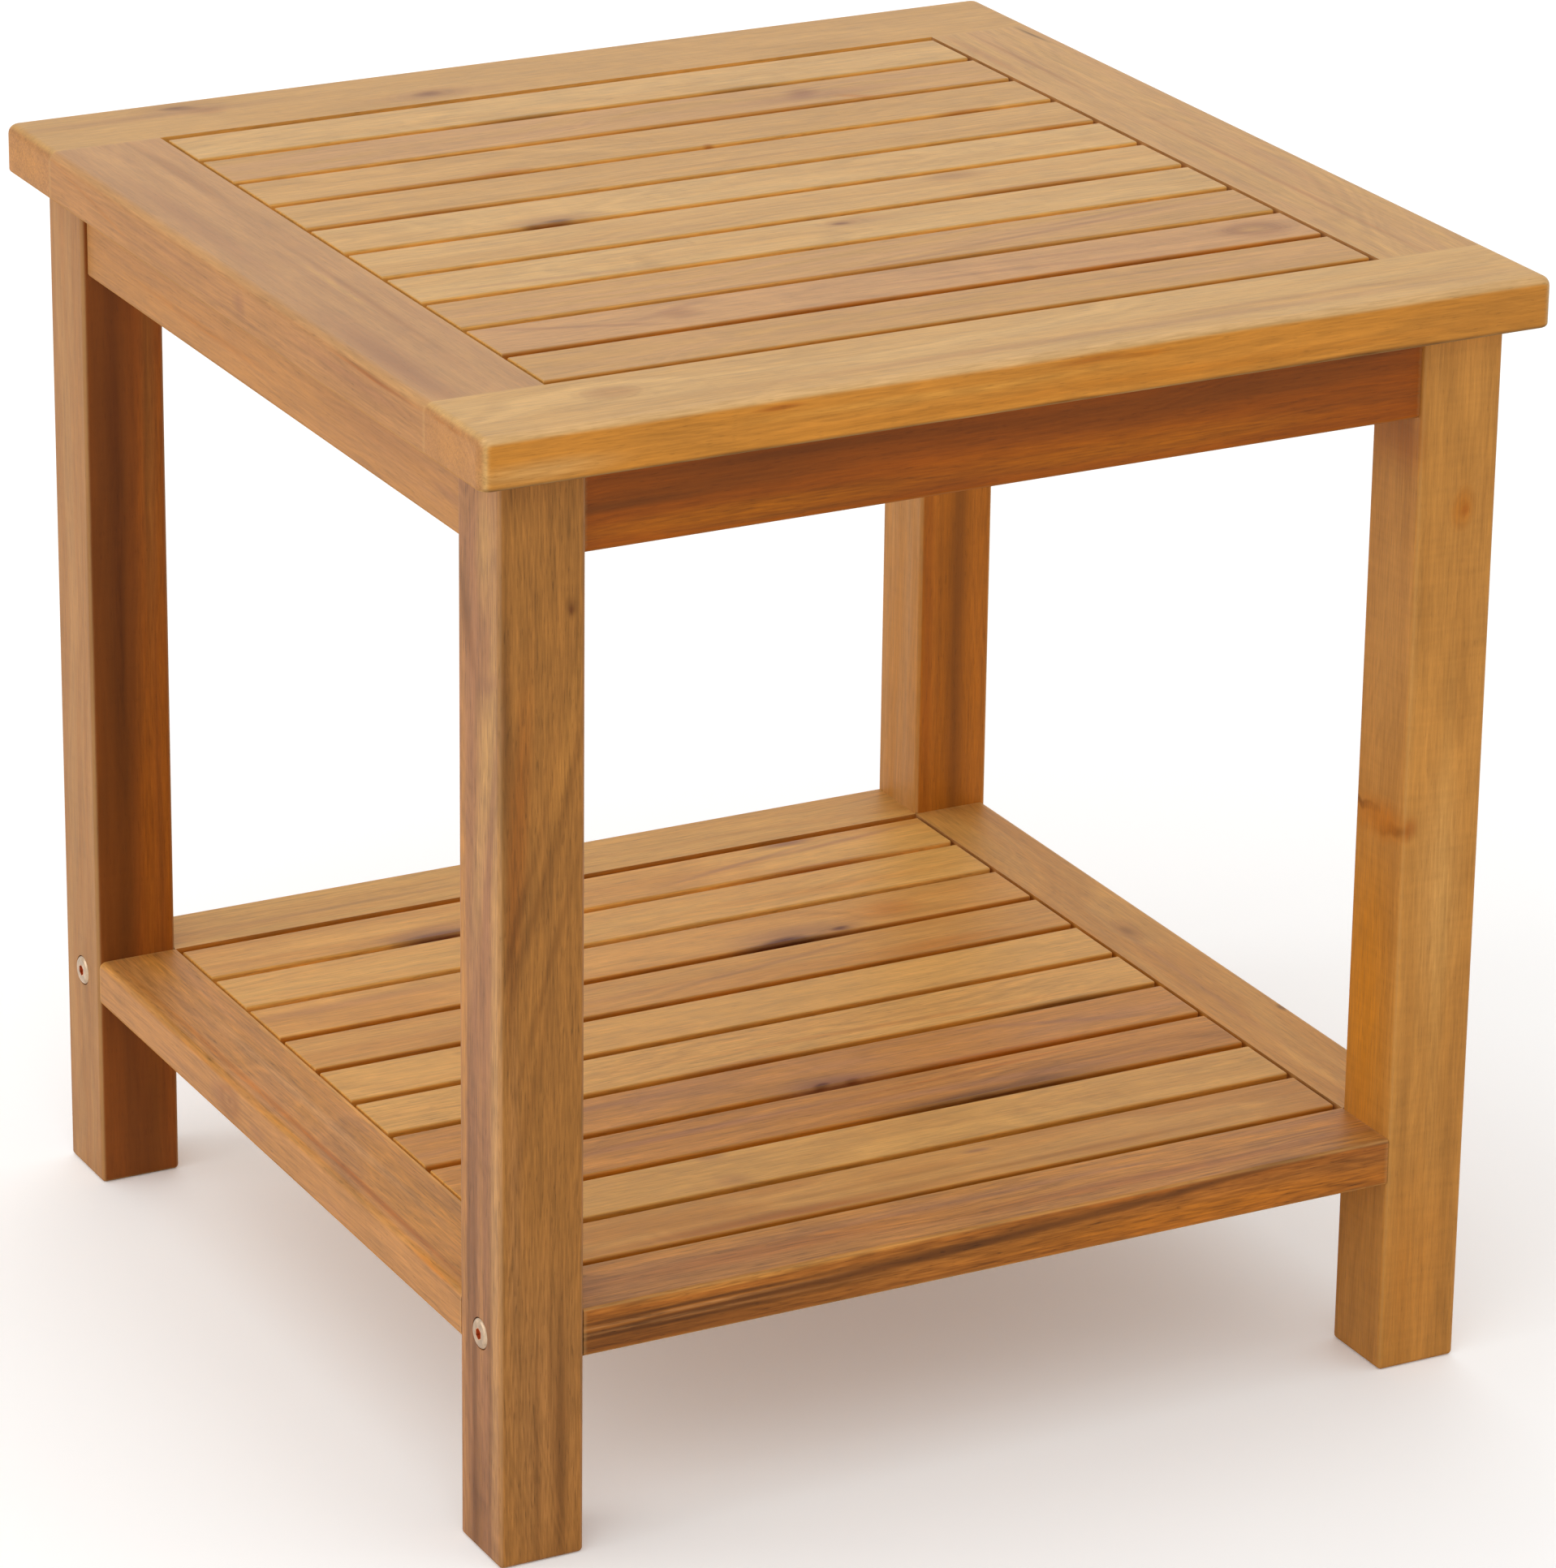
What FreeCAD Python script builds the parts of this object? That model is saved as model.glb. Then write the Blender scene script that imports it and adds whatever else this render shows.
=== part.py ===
"""Outdoor side table of oiled hardwood: a slatted top on four legs, with a slatted shelf low down.

The frame is in millimetres: X to the right along the front edge, Y to the back, Z up.
The origin lies on the ground under the middle of the table.
"""
import FreeCAD, Part
import Sketcher
import os
import re

# Driving sizes, in millimetres, and one count
SIZES = {
    # Tabletop: a frame of four rails round the slats
    "table_width": 450,
    "table_depth": 450,
    "table_height": 454.5,
    "top_thickness": 20,
    "frame_rail_width": 48,
    "frame_edge_rounding": 4,
    "frame_lower_rounding": 1.5,
    "frame_corner_rounding": 5,
    "top_slat_end_gap": 1.8,
    # Slats of the tabletop and the shelf
    "slat_count": 10,
    "slat_gap": 4.1,
    "slat_edge_rounding": 1,
    "slat_end_rounding": 0.6,
    # Legs
    "leg_size": 35,
    "leg_edge_rounding": 2,
    "foot_rounding": 2,
    # Aprons under the tabletop
    "apron_height": 34.3,
    "apron_thickness": 18,
    "apron_inset": 2.5,
    "apron_edge_rounding": 2,
    # Shelf
    "shelf_height": 101,
    "shelf_thickness": 19.5,
    "shelf_rail_inset": 0.5,
    "shelf_side_rounding": 3,
    "shelf_cross_rounding": 1.5,
    "shelf_slat_end_gap": 1.5,
    # Battens that carry the slats from below, let into the rails
    "batten_width": 30,
    "batten_thickness": 8,
    "batten_setback": 62,
    "batten_lap": 24,
    "batten_clearance": 0.25,
    "batten_edge_rounding": 1,
    # Diagonal blocks that draw the legs into the corners of the aprons
    "block_thickness": 18,
    "block_recess": 1.75,
    "block_clearance": 2,
    # Dowels, glued, and how far apart they sit in each joint
    "dowel_diameter": 8,
    "dowel_length": 30,
    "dowel_bite": 12,
    "dowel_clearance": 0.1,
    "hole_end_gap": 0.8,
    "apron_dowel_spread": 18,
    "frame_dowel_spread": 24,
    "shelf_dowel_spread": 18,
    "shelf_cross_dowel_offset": 11,
    # Bolts that hold the shelf between the legs, with their barrel nuts
    "bolt_diameter": 6,
    "bolt_length": 70,
    "bolt_head_diameter": 12.5,
    "bolt_head_height": 2.2,
    "bolt_head_rounding": 1.8,
    "bolt_head_sink": 1.5,
    "bolt_seat_clearance": 0.15,
    "bolt_key": 4,
    "bolt_socket_depth": 2.4,
    "bolt_clearance": 0.25,
    "barrel_nut_diameter": 10,
    "barrel_nut_length": 14,
    "barrel_nut_setback": 26,
    "barrel_nut_clearance": 0.1,
    # Hanger bolts of the corner blocks, with nuts and washers
    "hanger_bolt_diameter": 6,
    "hanger_bolt_length": 60,
    "hanger_bolt_end": 3,
    "hanger_nut_width": 10,
    "hanger_nut_height": 5,
    "hanger_washer_diameter": 18,
    "hanger_washer_thickness": 1.6,
    # Screws that hold the tabletop down on the aprons
    "top_screw_diameter": 4,
    "top_screw_length": 40,
    "top_screw_head_diameter": 8,
    "top_screw_head_height": 2.6,
    "top_screw_recess": 10,
    "top_screw_setback": 117,
    # Screws that hold the slats on the battens
    "slat_screw_diameter": 3.5,
    "slat_screw_length": 16,
    "slat_screw_head_diameter": 7,
    "slat_screw_head_height": 2.2,
    # What both kinds of screw share
    "screw_clearance": 0.05,
    "screw_recess_width": 0.9,
    "screw_recess_depth": 1.4,
    "screw_recess_edge": 1.4,
}

# Places and sizes that follow from the driving ones
PLACES = {
    "frame_inner_x": "table_width / 2 - frame_rail_width",
    "frame_inner_y": "table_depth / 2 - frame_rail_width",
    "frame_middle_x": "table_width / 2 - frame_rail_width / 2",
    "frame_middle_y": "table_depth / 2 - frame_rail_width / 2",
    "top_underside": "table_height - top_thickness",
    "top_middle_z": "table_height - top_thickness / 2",
    "top_slat_thickness": "top_thickness - batten_thickness",
    "overhang": "frame_rail_width - leg_size",
    "leg_outer_x": "table_width / 2 - overhang",
    "leg_outer_y": "table_depth / 2 - overhang",
    "leg_inner_x": "leg_outer_x - leg_size",
    "leg_inner_y": "leg_outer_y - leg_size",
    "leg_middle_x": "leg_outer_x - leg_size / 2",
    "leg_middle_y": "leg_outer_y - leg_size / 2",
    "apron_inner_x": "leg_outer_x - apron_inset - apron_thickness",
    "apron_inner_y": "leg_outer_y - apron_inset - apron_thickness",
    "apron_middle_x": "leg_outer_x - apron_inset - apron_thickness / 2",
    "apron_middle_y": "leg_outer_y - apron_inset - apron_thickness / 2",
    "apron_middle_z": "top_underside - apron_height / 2",
    "shelf_underside": "shelf_height - shelf_thickness",
    "shelf_middle_z": "shelf_height - shelf_thickness / 2",
    "shelf_rail_width": "leg_size - shelf_rail_inset",
    "shelf_rail_middle_x": "leg_inner_x + shelf_rail_width / 2",
    "shelf_rail_middle_y": "leg_inner_y + shelf_rail_width / 2",
    "shelf_slat_thickness": "shelf_thickness - batten_thickness",
    "block_height": "apron_height - 2 * block_recess",
    "block_corner_depth": "sqrt(2) * (leg_size - apron_inset - apron_thickness) + block_clearance",
    "hanger_bite": "hanger_bolt_length - hanger_bolt_end - hanger_nut_height"
                   " - hanger_washer_thickness - block_thickness - block_clearance",
}

RIGHT = (1, 0, 0)
BACK = (0, 1, 0)
UP = (0, 0, 1)
DOWN = (0, 0, -1)
SIDES = (("left", -1), ("right", 1))
ENDS = (("front", -1), ("back", 1))
SLATS = range(1, SIZES["slat_count"] + 1)
SAME_PLACE = 1e-6

doc = FreeCAD.newDocument("SideTable")
sheet = doc.addObject("Spreadsheet::Sheet", "Sizes")
for row, (alias, value) in enumerate(SIZES.items(), 1):
    sheet.set(f"A{row}", alias)
    sheet.set(f"B{row}", str(value))
    sheet.setAlias(f"B{row}", alias)
doc.recompute()

nodes = {}
middles = {}


def formula(text):
    """Writes a size given in words as an expression of the sheet's cells."""
    def cell(match):
        word = match.group()
        if word in PLACES:
            return f"({formula(PLACES[word])})"
        return f"Sizes.{word}" if word in SIZES else word
    return re.sub(r"[a-z][a-z_]+", cell, text)


def bind(target, name, text):
    """Ties one property of an object to the sheet."""
    target.setExpression(name, formula(text))


def place(target, at, direction=UP, axis=UP):
    """Puts an object's origin at a point and turns one of its axes along a direction."""
    turn = FreeCAD.Rotation(FreeCAD.Vector(*axis), FreeCAD.Vector(*direction))
    target.Placement = FreeCAD.Placement(FreeCAD.Vector(), turn)
    for letter, text in zip("xyz", at):
        bind(target, f"Placement.Base.{letter}", text)


def stepped(at, direction, length):
    """The point that lies a length away from another along an axis."""
    return [f"{text} + {step} * ({length})" if step else text for text, step in zip(at, direction)]


def turned(direction):
    """The opposite direction."""
    return tuple(-step for step in direction)


def runs(direction):
    """A test that picks the straight edges along an axis."""
    def test(edge, shape):
        ends = edge.Vertexes[-1].Point - edge.Vertexes[0].Point
        return abs(ends.dot(FreeCAD.Vector(*direction))) > edge.Length * (1 - SAME_PLACE)
    return test


def in_face(*directions):
    """A test that picks the edges in the outermost face of a shape in any of the directions."""
    def test(edge, shape):
        for direction in directions:
            axis = FreeCAD.Vector(*direction)
            reach = max(vertex.Point.dot(axis) for vertex in shape.Vertexes)
            if reach - edge.CenterOfMass.dot(axis) < SAME_PLACE:
                return True
        return False
    return test


def other_than(test):
    """A test that picks what another leaves."""
    return lambda edge, shape: not test(edge, shape)


def bar(label, middle, size):
    """A straight piece of timber, planed square, with its middle at a point."""
    body = doc.addObject("PartDesign::Body", label)
    place(body, middle)
    blank = body.newObject("PartDesign::AdditiveBox", f"{label}_blank")
    for name, letter, length in zip(("Length", "Width", "Height"), "xyz", size):
        bind(blank, name, length)
        bind(blank, f"Placement.Base.{letter}", f"-({length}) / 2")
    nodes[label] = body
    middles[label] = middle
    return body


def round_edges(body, radius, *tests):
    """Rounds those edges of a body that pass every test."""
    doc.recompute()
    base = body.Tip
    shape = base.Shape
    names = [f"Edge{number}" for number, edge in enumerate(shape.Edges, 1)
             if all(test(edge, shape) for test in tests)]
    fillet = body.newObject("PartDesign::Fillet", f"{body.Name}_rounding")
    fillet.Base = (base, names)
    bind(fillet, "Radius", radius)


def local(label, at):
    """A point of the table in the frame of one of its bars."""
    return [f"{text} - ({middle})" for text, middle in zip(at, middles[label])]


def drill(body, at, direction, diameter, depth):
    """Drills a round hole from a point of the body's own frame."""
    hole = body.newObject("PartDesign::SubtractiveCylinder", f"{body.Name}_hole")
    place(hole, at, direction)
    bind(hole, "Radius", f"({diameter}) / 2")
    bind(hole, "Height", depth)
    return hole


def drill_bar(label, at, direction, diameter, depth):
    """Drills a round hole in a bar from a point of the table."""
    return drill(nodes[label], local(label, at), direction, diameter, depth)


def countersink(label, at, direction, size):
    """Sinks the head of a screw in a bar, flush with a point of the table."""
    body = nodes[label]
    cone = body.newObject("PartDesign::SubtractiveCone", f"{label}_countersink")
    place(cone, local(label, at), direction)
    bind(cone, "Radius1", f"{size}_head_diameter / 2 + screw_clearance")
    bind(cone, "Radius2", f"{size}_diameter / 2 + screw_clearance")
    bind(cone, "Height", f"{size}_head_height")
    return cone


def cylinder(body, kind, diameter, length, start="0"):
    """Adds a cylinder about a fastener's Z axis, or takes one away."""
    feature = body.newObject(f"PartDesign::{kind}Cylinder", f"{body.Name}_cylinder")
    bind(feature, "Radius", f"({diameter}) / 2")
    bind(feature, "Height", length)
    bind(feature, "Placement.Base.z", start)
    return feature


def hexagon(body, kind, width, length, start="0"):
    """Adds a hexagon about a fastener's Z axis, or takes one away; its width is across flats."""
    feature = body.newObject(f"PartDesign::{kind}Prism", f"{body.Name}_hexagon")
    feature.Polygon = 6
    bind(feature, "Circumradius", f"({width}) / sqrt(3)")
    bind(feature, "Height", length)
    bind(feature, "Placement.Base.z", start)
    return feature


def fastener(name):
    """An empty body for one fastener, made about the Z axis of its own frame."""
    return doc.addObject("PartDesign::Body", name)


def cross_recess(body, head_diameter):
    """Cuts the cross that takes the driver in a screw's head."""
    across = f"{head_diameter} - 2 * screw_recess_edge"
    for plan in ((across, "screw_recess_width"), ("screw_recess_width", across)):
        slot = body.newObject("PartDesign::SubtractiveBox", f"{body.Name}_recess")
        for name, letter, size in zip(("Length", "Width"), "xy", plan):
            bind(slot, name, size)
            bind(slot, f"Placement.Base.{letter}", f"-({size}) / 2")
        bind(slot, "Height", "screw_recess_depth")


def screw(name):
    """A countersunk wood screw with its head flush at the origin and its point along Z."""
    body = fastener(name)
    head = body.newObject("PartDesign::AdditiveCone", f"{name}_head")
    bind(head, "Radius1", f"{name}_head_diameter / 2")
    bind(head, "Radius2", f"{name}_diameter / 2")
    bind(head, "Height", f"{name}_head_height")
    cylinder(body, "Additive", f"{name}_diameter", f"{name}_length - {name}_head_height",
             f"{name}_head_height")
    cross_recess(body, f"{name}_head_diameter")
    return body


def copies(label, pattern, places):
    """One node that holds a copy of a fastener at each of its places."""
    links = []
    for at, direction in places:
        link = doc.addObject("App::Link", f"{label}_copy")
        link.LinkedObject = pattern
        place(link, at, direction)
        links.append(link)
    group = doc.addObject("Part::Compound", label)
    group.Links = links
    nodes[label] = group


dowels = []


def dowel(at, direction, leg, rail):
    """Joins two bars with a dowel: it stands in the first and runs along a direction into the other."""
    dowels.append((stepped(at, direction, "-dowel_bite"), direction))
    width = "dowel_diameter + 2 * dowel_clearance"
    drill_bar(leg, at, turned(direction), width, "dowel_bite + hole_end_gap")
    drill_bar(rail, at, direction, width, "dowel_length - dowel_bite + hole_end_gap")


def slat_name(level, number):
    """The node of one slat, counted from the front."""
    return f"{level}_slat_{number:02d}"


def slat_middle(number, inner_y):
    """Where the middle line of a slat lies between the front and the back rail."""
    pitch = f"(2 * {inner_y} - slat_gap) / slat_count"
    return f"({number} - (slat_count + 1) / 2) * ({pitch})"


def slats(level, inner_x, inner_y, height, thickness, end_gap):
    """The slats of one level, evenly spaced between its rails."""
    width = f"(2 * {inner_y} - slat_gap) / slat_count - slat_gap"
    for number in SLATS:
        middle = ("0", slat_middle(number, inner_y), f"{height} - {thickness} / 2")
        slat = bar(slat_name(level, number), middle, (f"2 * {inner_x} - 2 * {end_gap}", width, thickness))
        round_edges(slat, "slat_edge_rounding", runs(RIGHT))
        round_edges(slat, "min(slat_end_rounding; slat_edge_rounding)", in_face(RIGHT, turned(RIGHT)))


slat_screws = []


def batten_x(sign, inner_x):
    """Where the middle line of a batten lies, set back from the side rail's inner face."""
    return f"{sign} * ({inner_x} - batten_setback - batten_width / 2)"


def batten(level, side, x, inner_y, underside):
    """A batten under the slats, let into the front and back rails and screwed on from below."""
    label = f"{level}_batten_{side}"
    piece = bar(label, (x, "0", f"{underside} + batten_thickness / 2"),
                ("batten_width", f"2 * {inner_y} + 2 * batten_lap", "batten_thickness"))
    round_edges(piece, "batten_edge_rounding", runs(BACK), in_face(DOWN))
    rows = [(f"{level}_{end}_rail", f"{way} * ({inner_y} + batten_lap / 2)") for end, way in ENDS]
    rows += [(slat_name(level, number), slat_middle(number, inner_y)) for number in SLATS]
    for fixed, y in rows:
        at = (x, y, underside)
        slat_screws.append((at, UP))
        countersink(label, at, UP, "slat_screw")
        shank = "slat_screw_diameter + 2 * screw_clearance"
        drill_bar(label, at, UP, shank, "batten_thickness")
        drill_bar(fixed, stepped(at, UP, "batten_thickness"), UP, shank,
                  "slat_screw_length - batten_thickness + hole_end_gap")


def batten_notch(label, x, end_sign, width, thickness):
    """Cuts the rebate for a batten's end in the underside of a front or back rail."""
    body = nodes[label]
    notch = body.newObject("PartDesign::SubtractiveBox", f"{label}_notch")
    across = "batten_width + 2 * batten_clearance"
    deep = "batten_lap + batten_clearance"
    bind(notch, "Length", across)
    bind(notch, "Width", deep)
    bind(notch, "Height", "batten_thickness")
    bind(notch, "Placement.Base.x", f"{x} - ({across}) / 2")
    bind(notch, "Placement.Base.y", f"{-end_sign} * ({width} / 2 - ({deep}) / 2) - ({deep}) / 2")
    bind(notch, "Placement.Base.z", f"-({thickness}) / 2")


# Tabletop frame: the front and back rails run through, the side rails stand between them
for end, way in ENDS:
    outward = (0, way, 0)
    rail = bar(f"top_{end}_rail", ("0", f"{way} * frame_middle_y", "top_middle_z"),
               ("table_width", "frame_rail_width", "top_thickness"))
    round_edges(rail, "frame_corner_rounding", runs(UP), in_face(outward))
    for face, rounding in ((UP, "frame_edge_rounding"), (DOWN, "frame_lower_rounding")):
        round_edges(rail, f"min({rounding}; frame_corner_rounding)",
                    in_face(face), other_than(in_face(turned(outward))))
for side, sign in SIDES:
    rail = bar(f"top_{side}_rail", (f"{sign} * frame_middle_x", "0", "top_middle_z"),
               ("frame_rail_width", "2 * frame_inner_y", "top_thickness"))
    for face, rounding in ((UP, "frame_edge_rounding"), (DOWN, "frame_lower_rounding")):
        round_edges(rail, rounding, runs(BACK), in_face(face), other_than(in_face((-sign, 0, 0))))
slats("top", "frame_inner_x", "frame_inner_y", "table_height", "top_slat_thickness", "top_slat_end_gap")

# Legs, each with a rounded foot
for end, way in ENDS:
    for side, sign in SIDES:
        middle = (f"{sign} * leg_middle_x", f"{way} * leg_middle_y", "top_underside / 2")
        leg = bar(f"leg_{end}_{side}", middle, ("leg_size", "leg_size", "top_underside"))
        round_edges(leg, "leg_edge_rounding", runs(UP))
        round_edges(leg, "min(foot_rounding; leg_edge_rounding)", in_face(DOWN))

# Aprons between the legs, against the underside of the tabletop
for end, way in ENDS:
    apron = bar(f"apron_{end}", ("0", f"{way} * apron_middle_y", "apron_middle_z"),
                ("2 * leg_inner_x", "apron_thickness", "apron_height"))
    round_edges(apron, "apron_edge_rounding", runs(RIGHT), in_face(DOWN))
for side, sign in SIDES:
    apron = bar(f"apron_{side}", (f"{sign} * apron_middle_x", "0", "apron_middle_z"),
                ("apron_thickness", "2 * leg_inner_y", "apron_height"))
    round_edges(apron, "apron_edge_rounding", runs(BACK), in_face(DOWN))

# Shelf rails between the legs, and the shelf's slats
for end, way in ENDS:
    rail = bar(f"shelf_{end}_rail", ("0", f"{way} * shelf_rail_middle_y", "shelf_middle_z"),
               ("2 * leg_inner_x", "shelf_rail_width", "shelf_thickness"))
    round_edges(rail, "shelf_cross_rounding", runs(RIGHT), in_face((0, way, 0)))
for side, sign in SIDES:
    rail = bar(f"shelf_{side}_rail", (f"{sign} * shelf_rail_middle_x", "0", "shelf_middle_z"),
               ("shelf_rail_width", "2 * leg_inner_y", "shelf_thickness"))
    round_edges(rail, "shelf_side_rounding", runs(BACK), in_face((sign, 0, 0)))
slats("shelf", "leg_inner_x", "leg_inner_y", "shelf_height", "shelf_slat_thickness", "shelf_slat_end_gap")

# Battens, two to a level
LEVELS = (("top", "frame_inner_x", "frame_inner_y", "top_underside", "frame_rail_width", "top_thickness"),
          ("shelf", "leg_inner_x", "leg_inner_y", "shelf_underside", "shelf_rail_width", "shelf_thickness"))
for level, inner_x, inner_y, underside, rail_width, rail_thickness in LEVELS:
    for side, sign in SIDES:
        x = batten_x(sign, inner_x)
        for end, way in ENDS:
            batten_notch(f"{level}_{end}_rail", x, way, rail_width, rail_thickness)
        batten(level, side, x, inner_y, underside)

# Dowels in the corners of the tabletop frame, and at the ends of the aprons and the shelf rails
for end, way in ENDS:
    inward_y = (0, -way, 0)
    for side, sign in SIDES:
        inward_x = (-sign, 0, 0)
        leg = f"leg_{end}_{side}"
        for step in (-1, 1):
            across = f"{sign} * frame_middle_x + {step} * frame_dowel_spread / 2"
            spot = (across, f"{way} * frame_inner_y", "top_middle_z")
            dowel(spot, inward_y, f"top_{end}_rail", f"top_{side}_rail")
            height = f"apron_middle_z + {step} * apron_dowel_spread / 2"
            spot = (f"{sign} * apron_middle_x", f"{way} * leg_inner_y", height)
            dowel(spot, inward_y, leg, f"apron_{side}")
            spot = (f"{sign} * leg_inner_x", f"{way} * apron_middle_y", height)
            dowel(spot, inward_x, leg, f"apron_{end}")
            across = f"{sign} * shelf_rail_middle_x + {step} * shelf_dowel_spread / 2"
            spot = (across, f"{way} * leg_inner_y", "shelf_middle_z")
            dowel(spot, inward_y, leg, f"shelf_{side}_rail")
        across = f"{way} * (leg_middle_y + shelf_cross_dowel_offset)"
        spot = (f"{sign} * leg_inner_x", across, "shelf_middle_z")
        dowel(spot, inward_x, leg, f"shelf_{end}_rail")

# Shelf bolts, through the legs from the left and the right into barrel nuts in the cross rails
shelf_bolts = []
barrel_nuts = []
for end, way in ENDS:
    for side, sign in SIDES:
        inward = (-sign, 0, 0)
        rail = f"shelf_{end}_rail"
        bore = "bolt_diameter + 2 * bolt_clearance"
        outer = (f"{sign} * leg_outer_x", f"{way} * leg_middle_y", "shelf_middle_z")
        inner = stepped(outer, inward, "leg_size")
        nut = stepped(inner, inward, "barrel_nut_setback")
        shelf_bolts.append((stepped(outer, inward, "bolt_head_sink"), inward))
        barrel_nuts.append((nut, UP))
        seat = "bolt_head_diameter + 2 * bolt_seat_clearance"
        drill_bar(f"leg_{end}_{side}", outer, inward, seat, "bolt_head_sink")
        drill_bar(f"leg_{end}_{side}", outer, inward, bore, "leg_size")
        drill_bar(rail, inner, inward, bore, "bolt_length + bolt_head_sink - leg_size + hole_end_gap")
        nut_bore = "barrel_nut_diameter + 2 * barrel_nut_clearance"
        drill_bar(rail, (nut[0], nut[1], "shelf_underside"), UP, nut_bore,
                  "shelf_thickness / 2 + barrel_nut_length / 2 + hole_end_gap")

# Screws up through the aprons into the tabletop frame
top_screws = []
apron_spots = []
for step in (-1, 1):
    for end, way in ENDS:
        along = f"{step} * (leg_inner_x - top_screw_setback)"
        apron_spots.append((f"apron_{end}", f"top_{end}_rail", (along, f"{way} * apron_middle_y")))
    for side, sign in SIDES:
        along = f"{step} * (leg_inner_y - top_screw_setback)"
        apron_spots.append((f"apron_{side}", f"top_{side}_rail", (f"{sign} * apron_middle_x", along)))
for apron, rail, (x, y) in apron_spots:
    shank = "top_screw_diameter + 2 * screw_clearance"
    below = (x, y, "top_underside - apron_height")
    seat = stepped(below, UP, "top_screw_recess")
    top_screws.append((seat, UP))
    drill_bar(apron, below, UP, "top_screw_head_diameter + 2 * screw_clearance", "top_screw_recess")
    countersink(apron, seat, UP, "top_screw")
    drill_bar(apron, seat, UP, shank, "apron_height - top_screw_recess")
    drill_bar(rail, (x, y, "top_underside"), UP, shank,
              "top_screw_length - apron_height + top_screw_recess + hole_end_gap")


def block_plan(body):
    """The plan of a corner block: a long side, a short side towards the leg and two mitred ends."""
    plan = body.newObject("Sketcher::SketchObject", f"{body.Name}_plan")
    plane = next(feature for feature in body.Origin.OriginFeatures if feature.Role == "XY_Plane")
    plan.AttachmentSupport = (plane, [""])
    plan.MapMode = "FlatFace"
    corners = [FreeCAD.Vector(x, y, 0) for x, y in ((-1, -1), (1, -1), (1, 1), (-1, 1))]
    for start, finish in zip(corners, corners[1:] + corners[:1]):
        plan.addGeometry(Part.LineSegment(start, finish), False)
    for line in range(4):
        plan.addConstraint(Sketcher.Constraint("Coincident", line, 2, (line + 1) % 4, 1))
    for line in (0, 2):
        plan.addConstraint(Sketcher.Constraint("Symmetric", line, 1, line, 2, -2))
    sizes = (("long_side", ("DistanceX", 0, 1, 0, 2), "2 * (block_corner_depth + block_thickness)"),
             ("short_side", ("DistanceX", 2, 2, 2, 1), "2 * block_corner_depth"),
             ("inner_half", ("DistanceY", 0, 1, -1, 1), "block_thickness / 2"),
             ("outer_half", ("DistanceY", -1, 1, 2, 1), "block_thickness / 2"))
    for name, ends, text in sizes:
        index = plan.addConstraint(Sketcher.Constraint(*ends, 1))
        plan.renameConstraint(index, name)
        bind(plan, f"Constraints.{name}", text)
    return plan


def diagonal(sign, way, depth, height):
    """A point on the diagonal of a corner, a depth inside the meeting of the aprons' inner faces."""
    return (f"{sign} * (apron_inner_x - ({depth}) / sqrt(2))",
            f"{way} * (apron_inner_y - ({depth}) / sqrt(2))", height)


# Corner blocks, each drawn to its leg by a hanger bolt
hanger_bolts = []
hanger_nuts = []
hanger_washers = []
for end, way in ENDS:
    for side, sign in SIDES:
        outward = (sign, way, 0)
        bore = "hanger_bolt_diameter + 2 * bolt_clearance"
        block = doc.addObject("PartDesign::Body", f"corner_block_{end}_{side}")
        place(block, diagonal(sign, way, "block_corner_depth + block_thickness / 2",
                              "apron_middle_z - block_height / 2"), outward, BACK)
        pad = block.newObject("PartDesign::Pad", f"{block.Name}_pad")
        pad.Profile = block_plan(block)
        bind(pad, "Length", "block_height")
        doc.recompute()
        drill(block, ("0", "-block_thickness / 2", "block_height / 2"), BACK, bore, "block_thickness")
        nodes[block.Name] = block
        inner_face = "block_corner_depth + block_thickness"
        stack = f"{inner_face} + hanger_washer_thickness"
        hanger_washers.append((diagonal(sign, way, stack, "apron_middle_z"), outward))
        hanger_nuts.append((diagonal(sign, way, f"{stack} + hanger_nut_height", "apron_middle_z"), outward))
        hanger_bolts.append((diagonal(sign, way, f"{stack} + hanger_nut_height + hanger_bolt_end",
                                      "apron_middle_z"), outward))
        drill_bar(f"leg_{end}_{side}", diagonal(sign, way, "block_corner_depth", "apron_middle_z"), outward,
                  bore, "block_clearance + hanger_bite + hole_end_gap")

# Fasteners, each kind made once
peg = fastener("dowel")
cylinder(peg, "Additive", "dowel_diameter", "dowel_length")
copies("dowels", peg, dowels)

bolt = fastener("shelf_bolt")
cylinder(bolt, "Additive", "bolt_head_diameter", "bolt_head_height", "-bolt_head_height")
round_edges(bolt, "bolt_head_rounding", in_face(DOWN))
cylinder(bolt, "Additive", "bolt_diameter", "bolt_length")
hexagon(bolt, "Subtractive", "bolt_key", "bolt_socket_depth", "-bolt_head_height")
copies("shelf_bolts", bolt, shelf_bolts)

barrel_nut = fastener("barrel_nut")
cylinder(barrel_nut, "Additive", "barrel_nut_diameter", "barrel_nut_length", "-barrel_nut_length / 2")
drill(barrel_nut, ("-barrel_nut_diameter / 2", "0", "0"), RIGHT, "bolt_diameter + 2 * bolt_clearance",
      "barrel_nut_diameter")
copies("barrel_nuts", barrel_nut, barrel_nuts)

copies("top_screws", screw("top_screw"), top_screws)
copies("slat_screws", screw("slat_screw"), slat_screws)

stud = fastener("hanger_bolt")
cylinder(stud, "Additive", "hanger_bolt_diameter", "hanger_bolt_length")
copies("hanger_bolts", stud, hanger_bolts)

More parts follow.
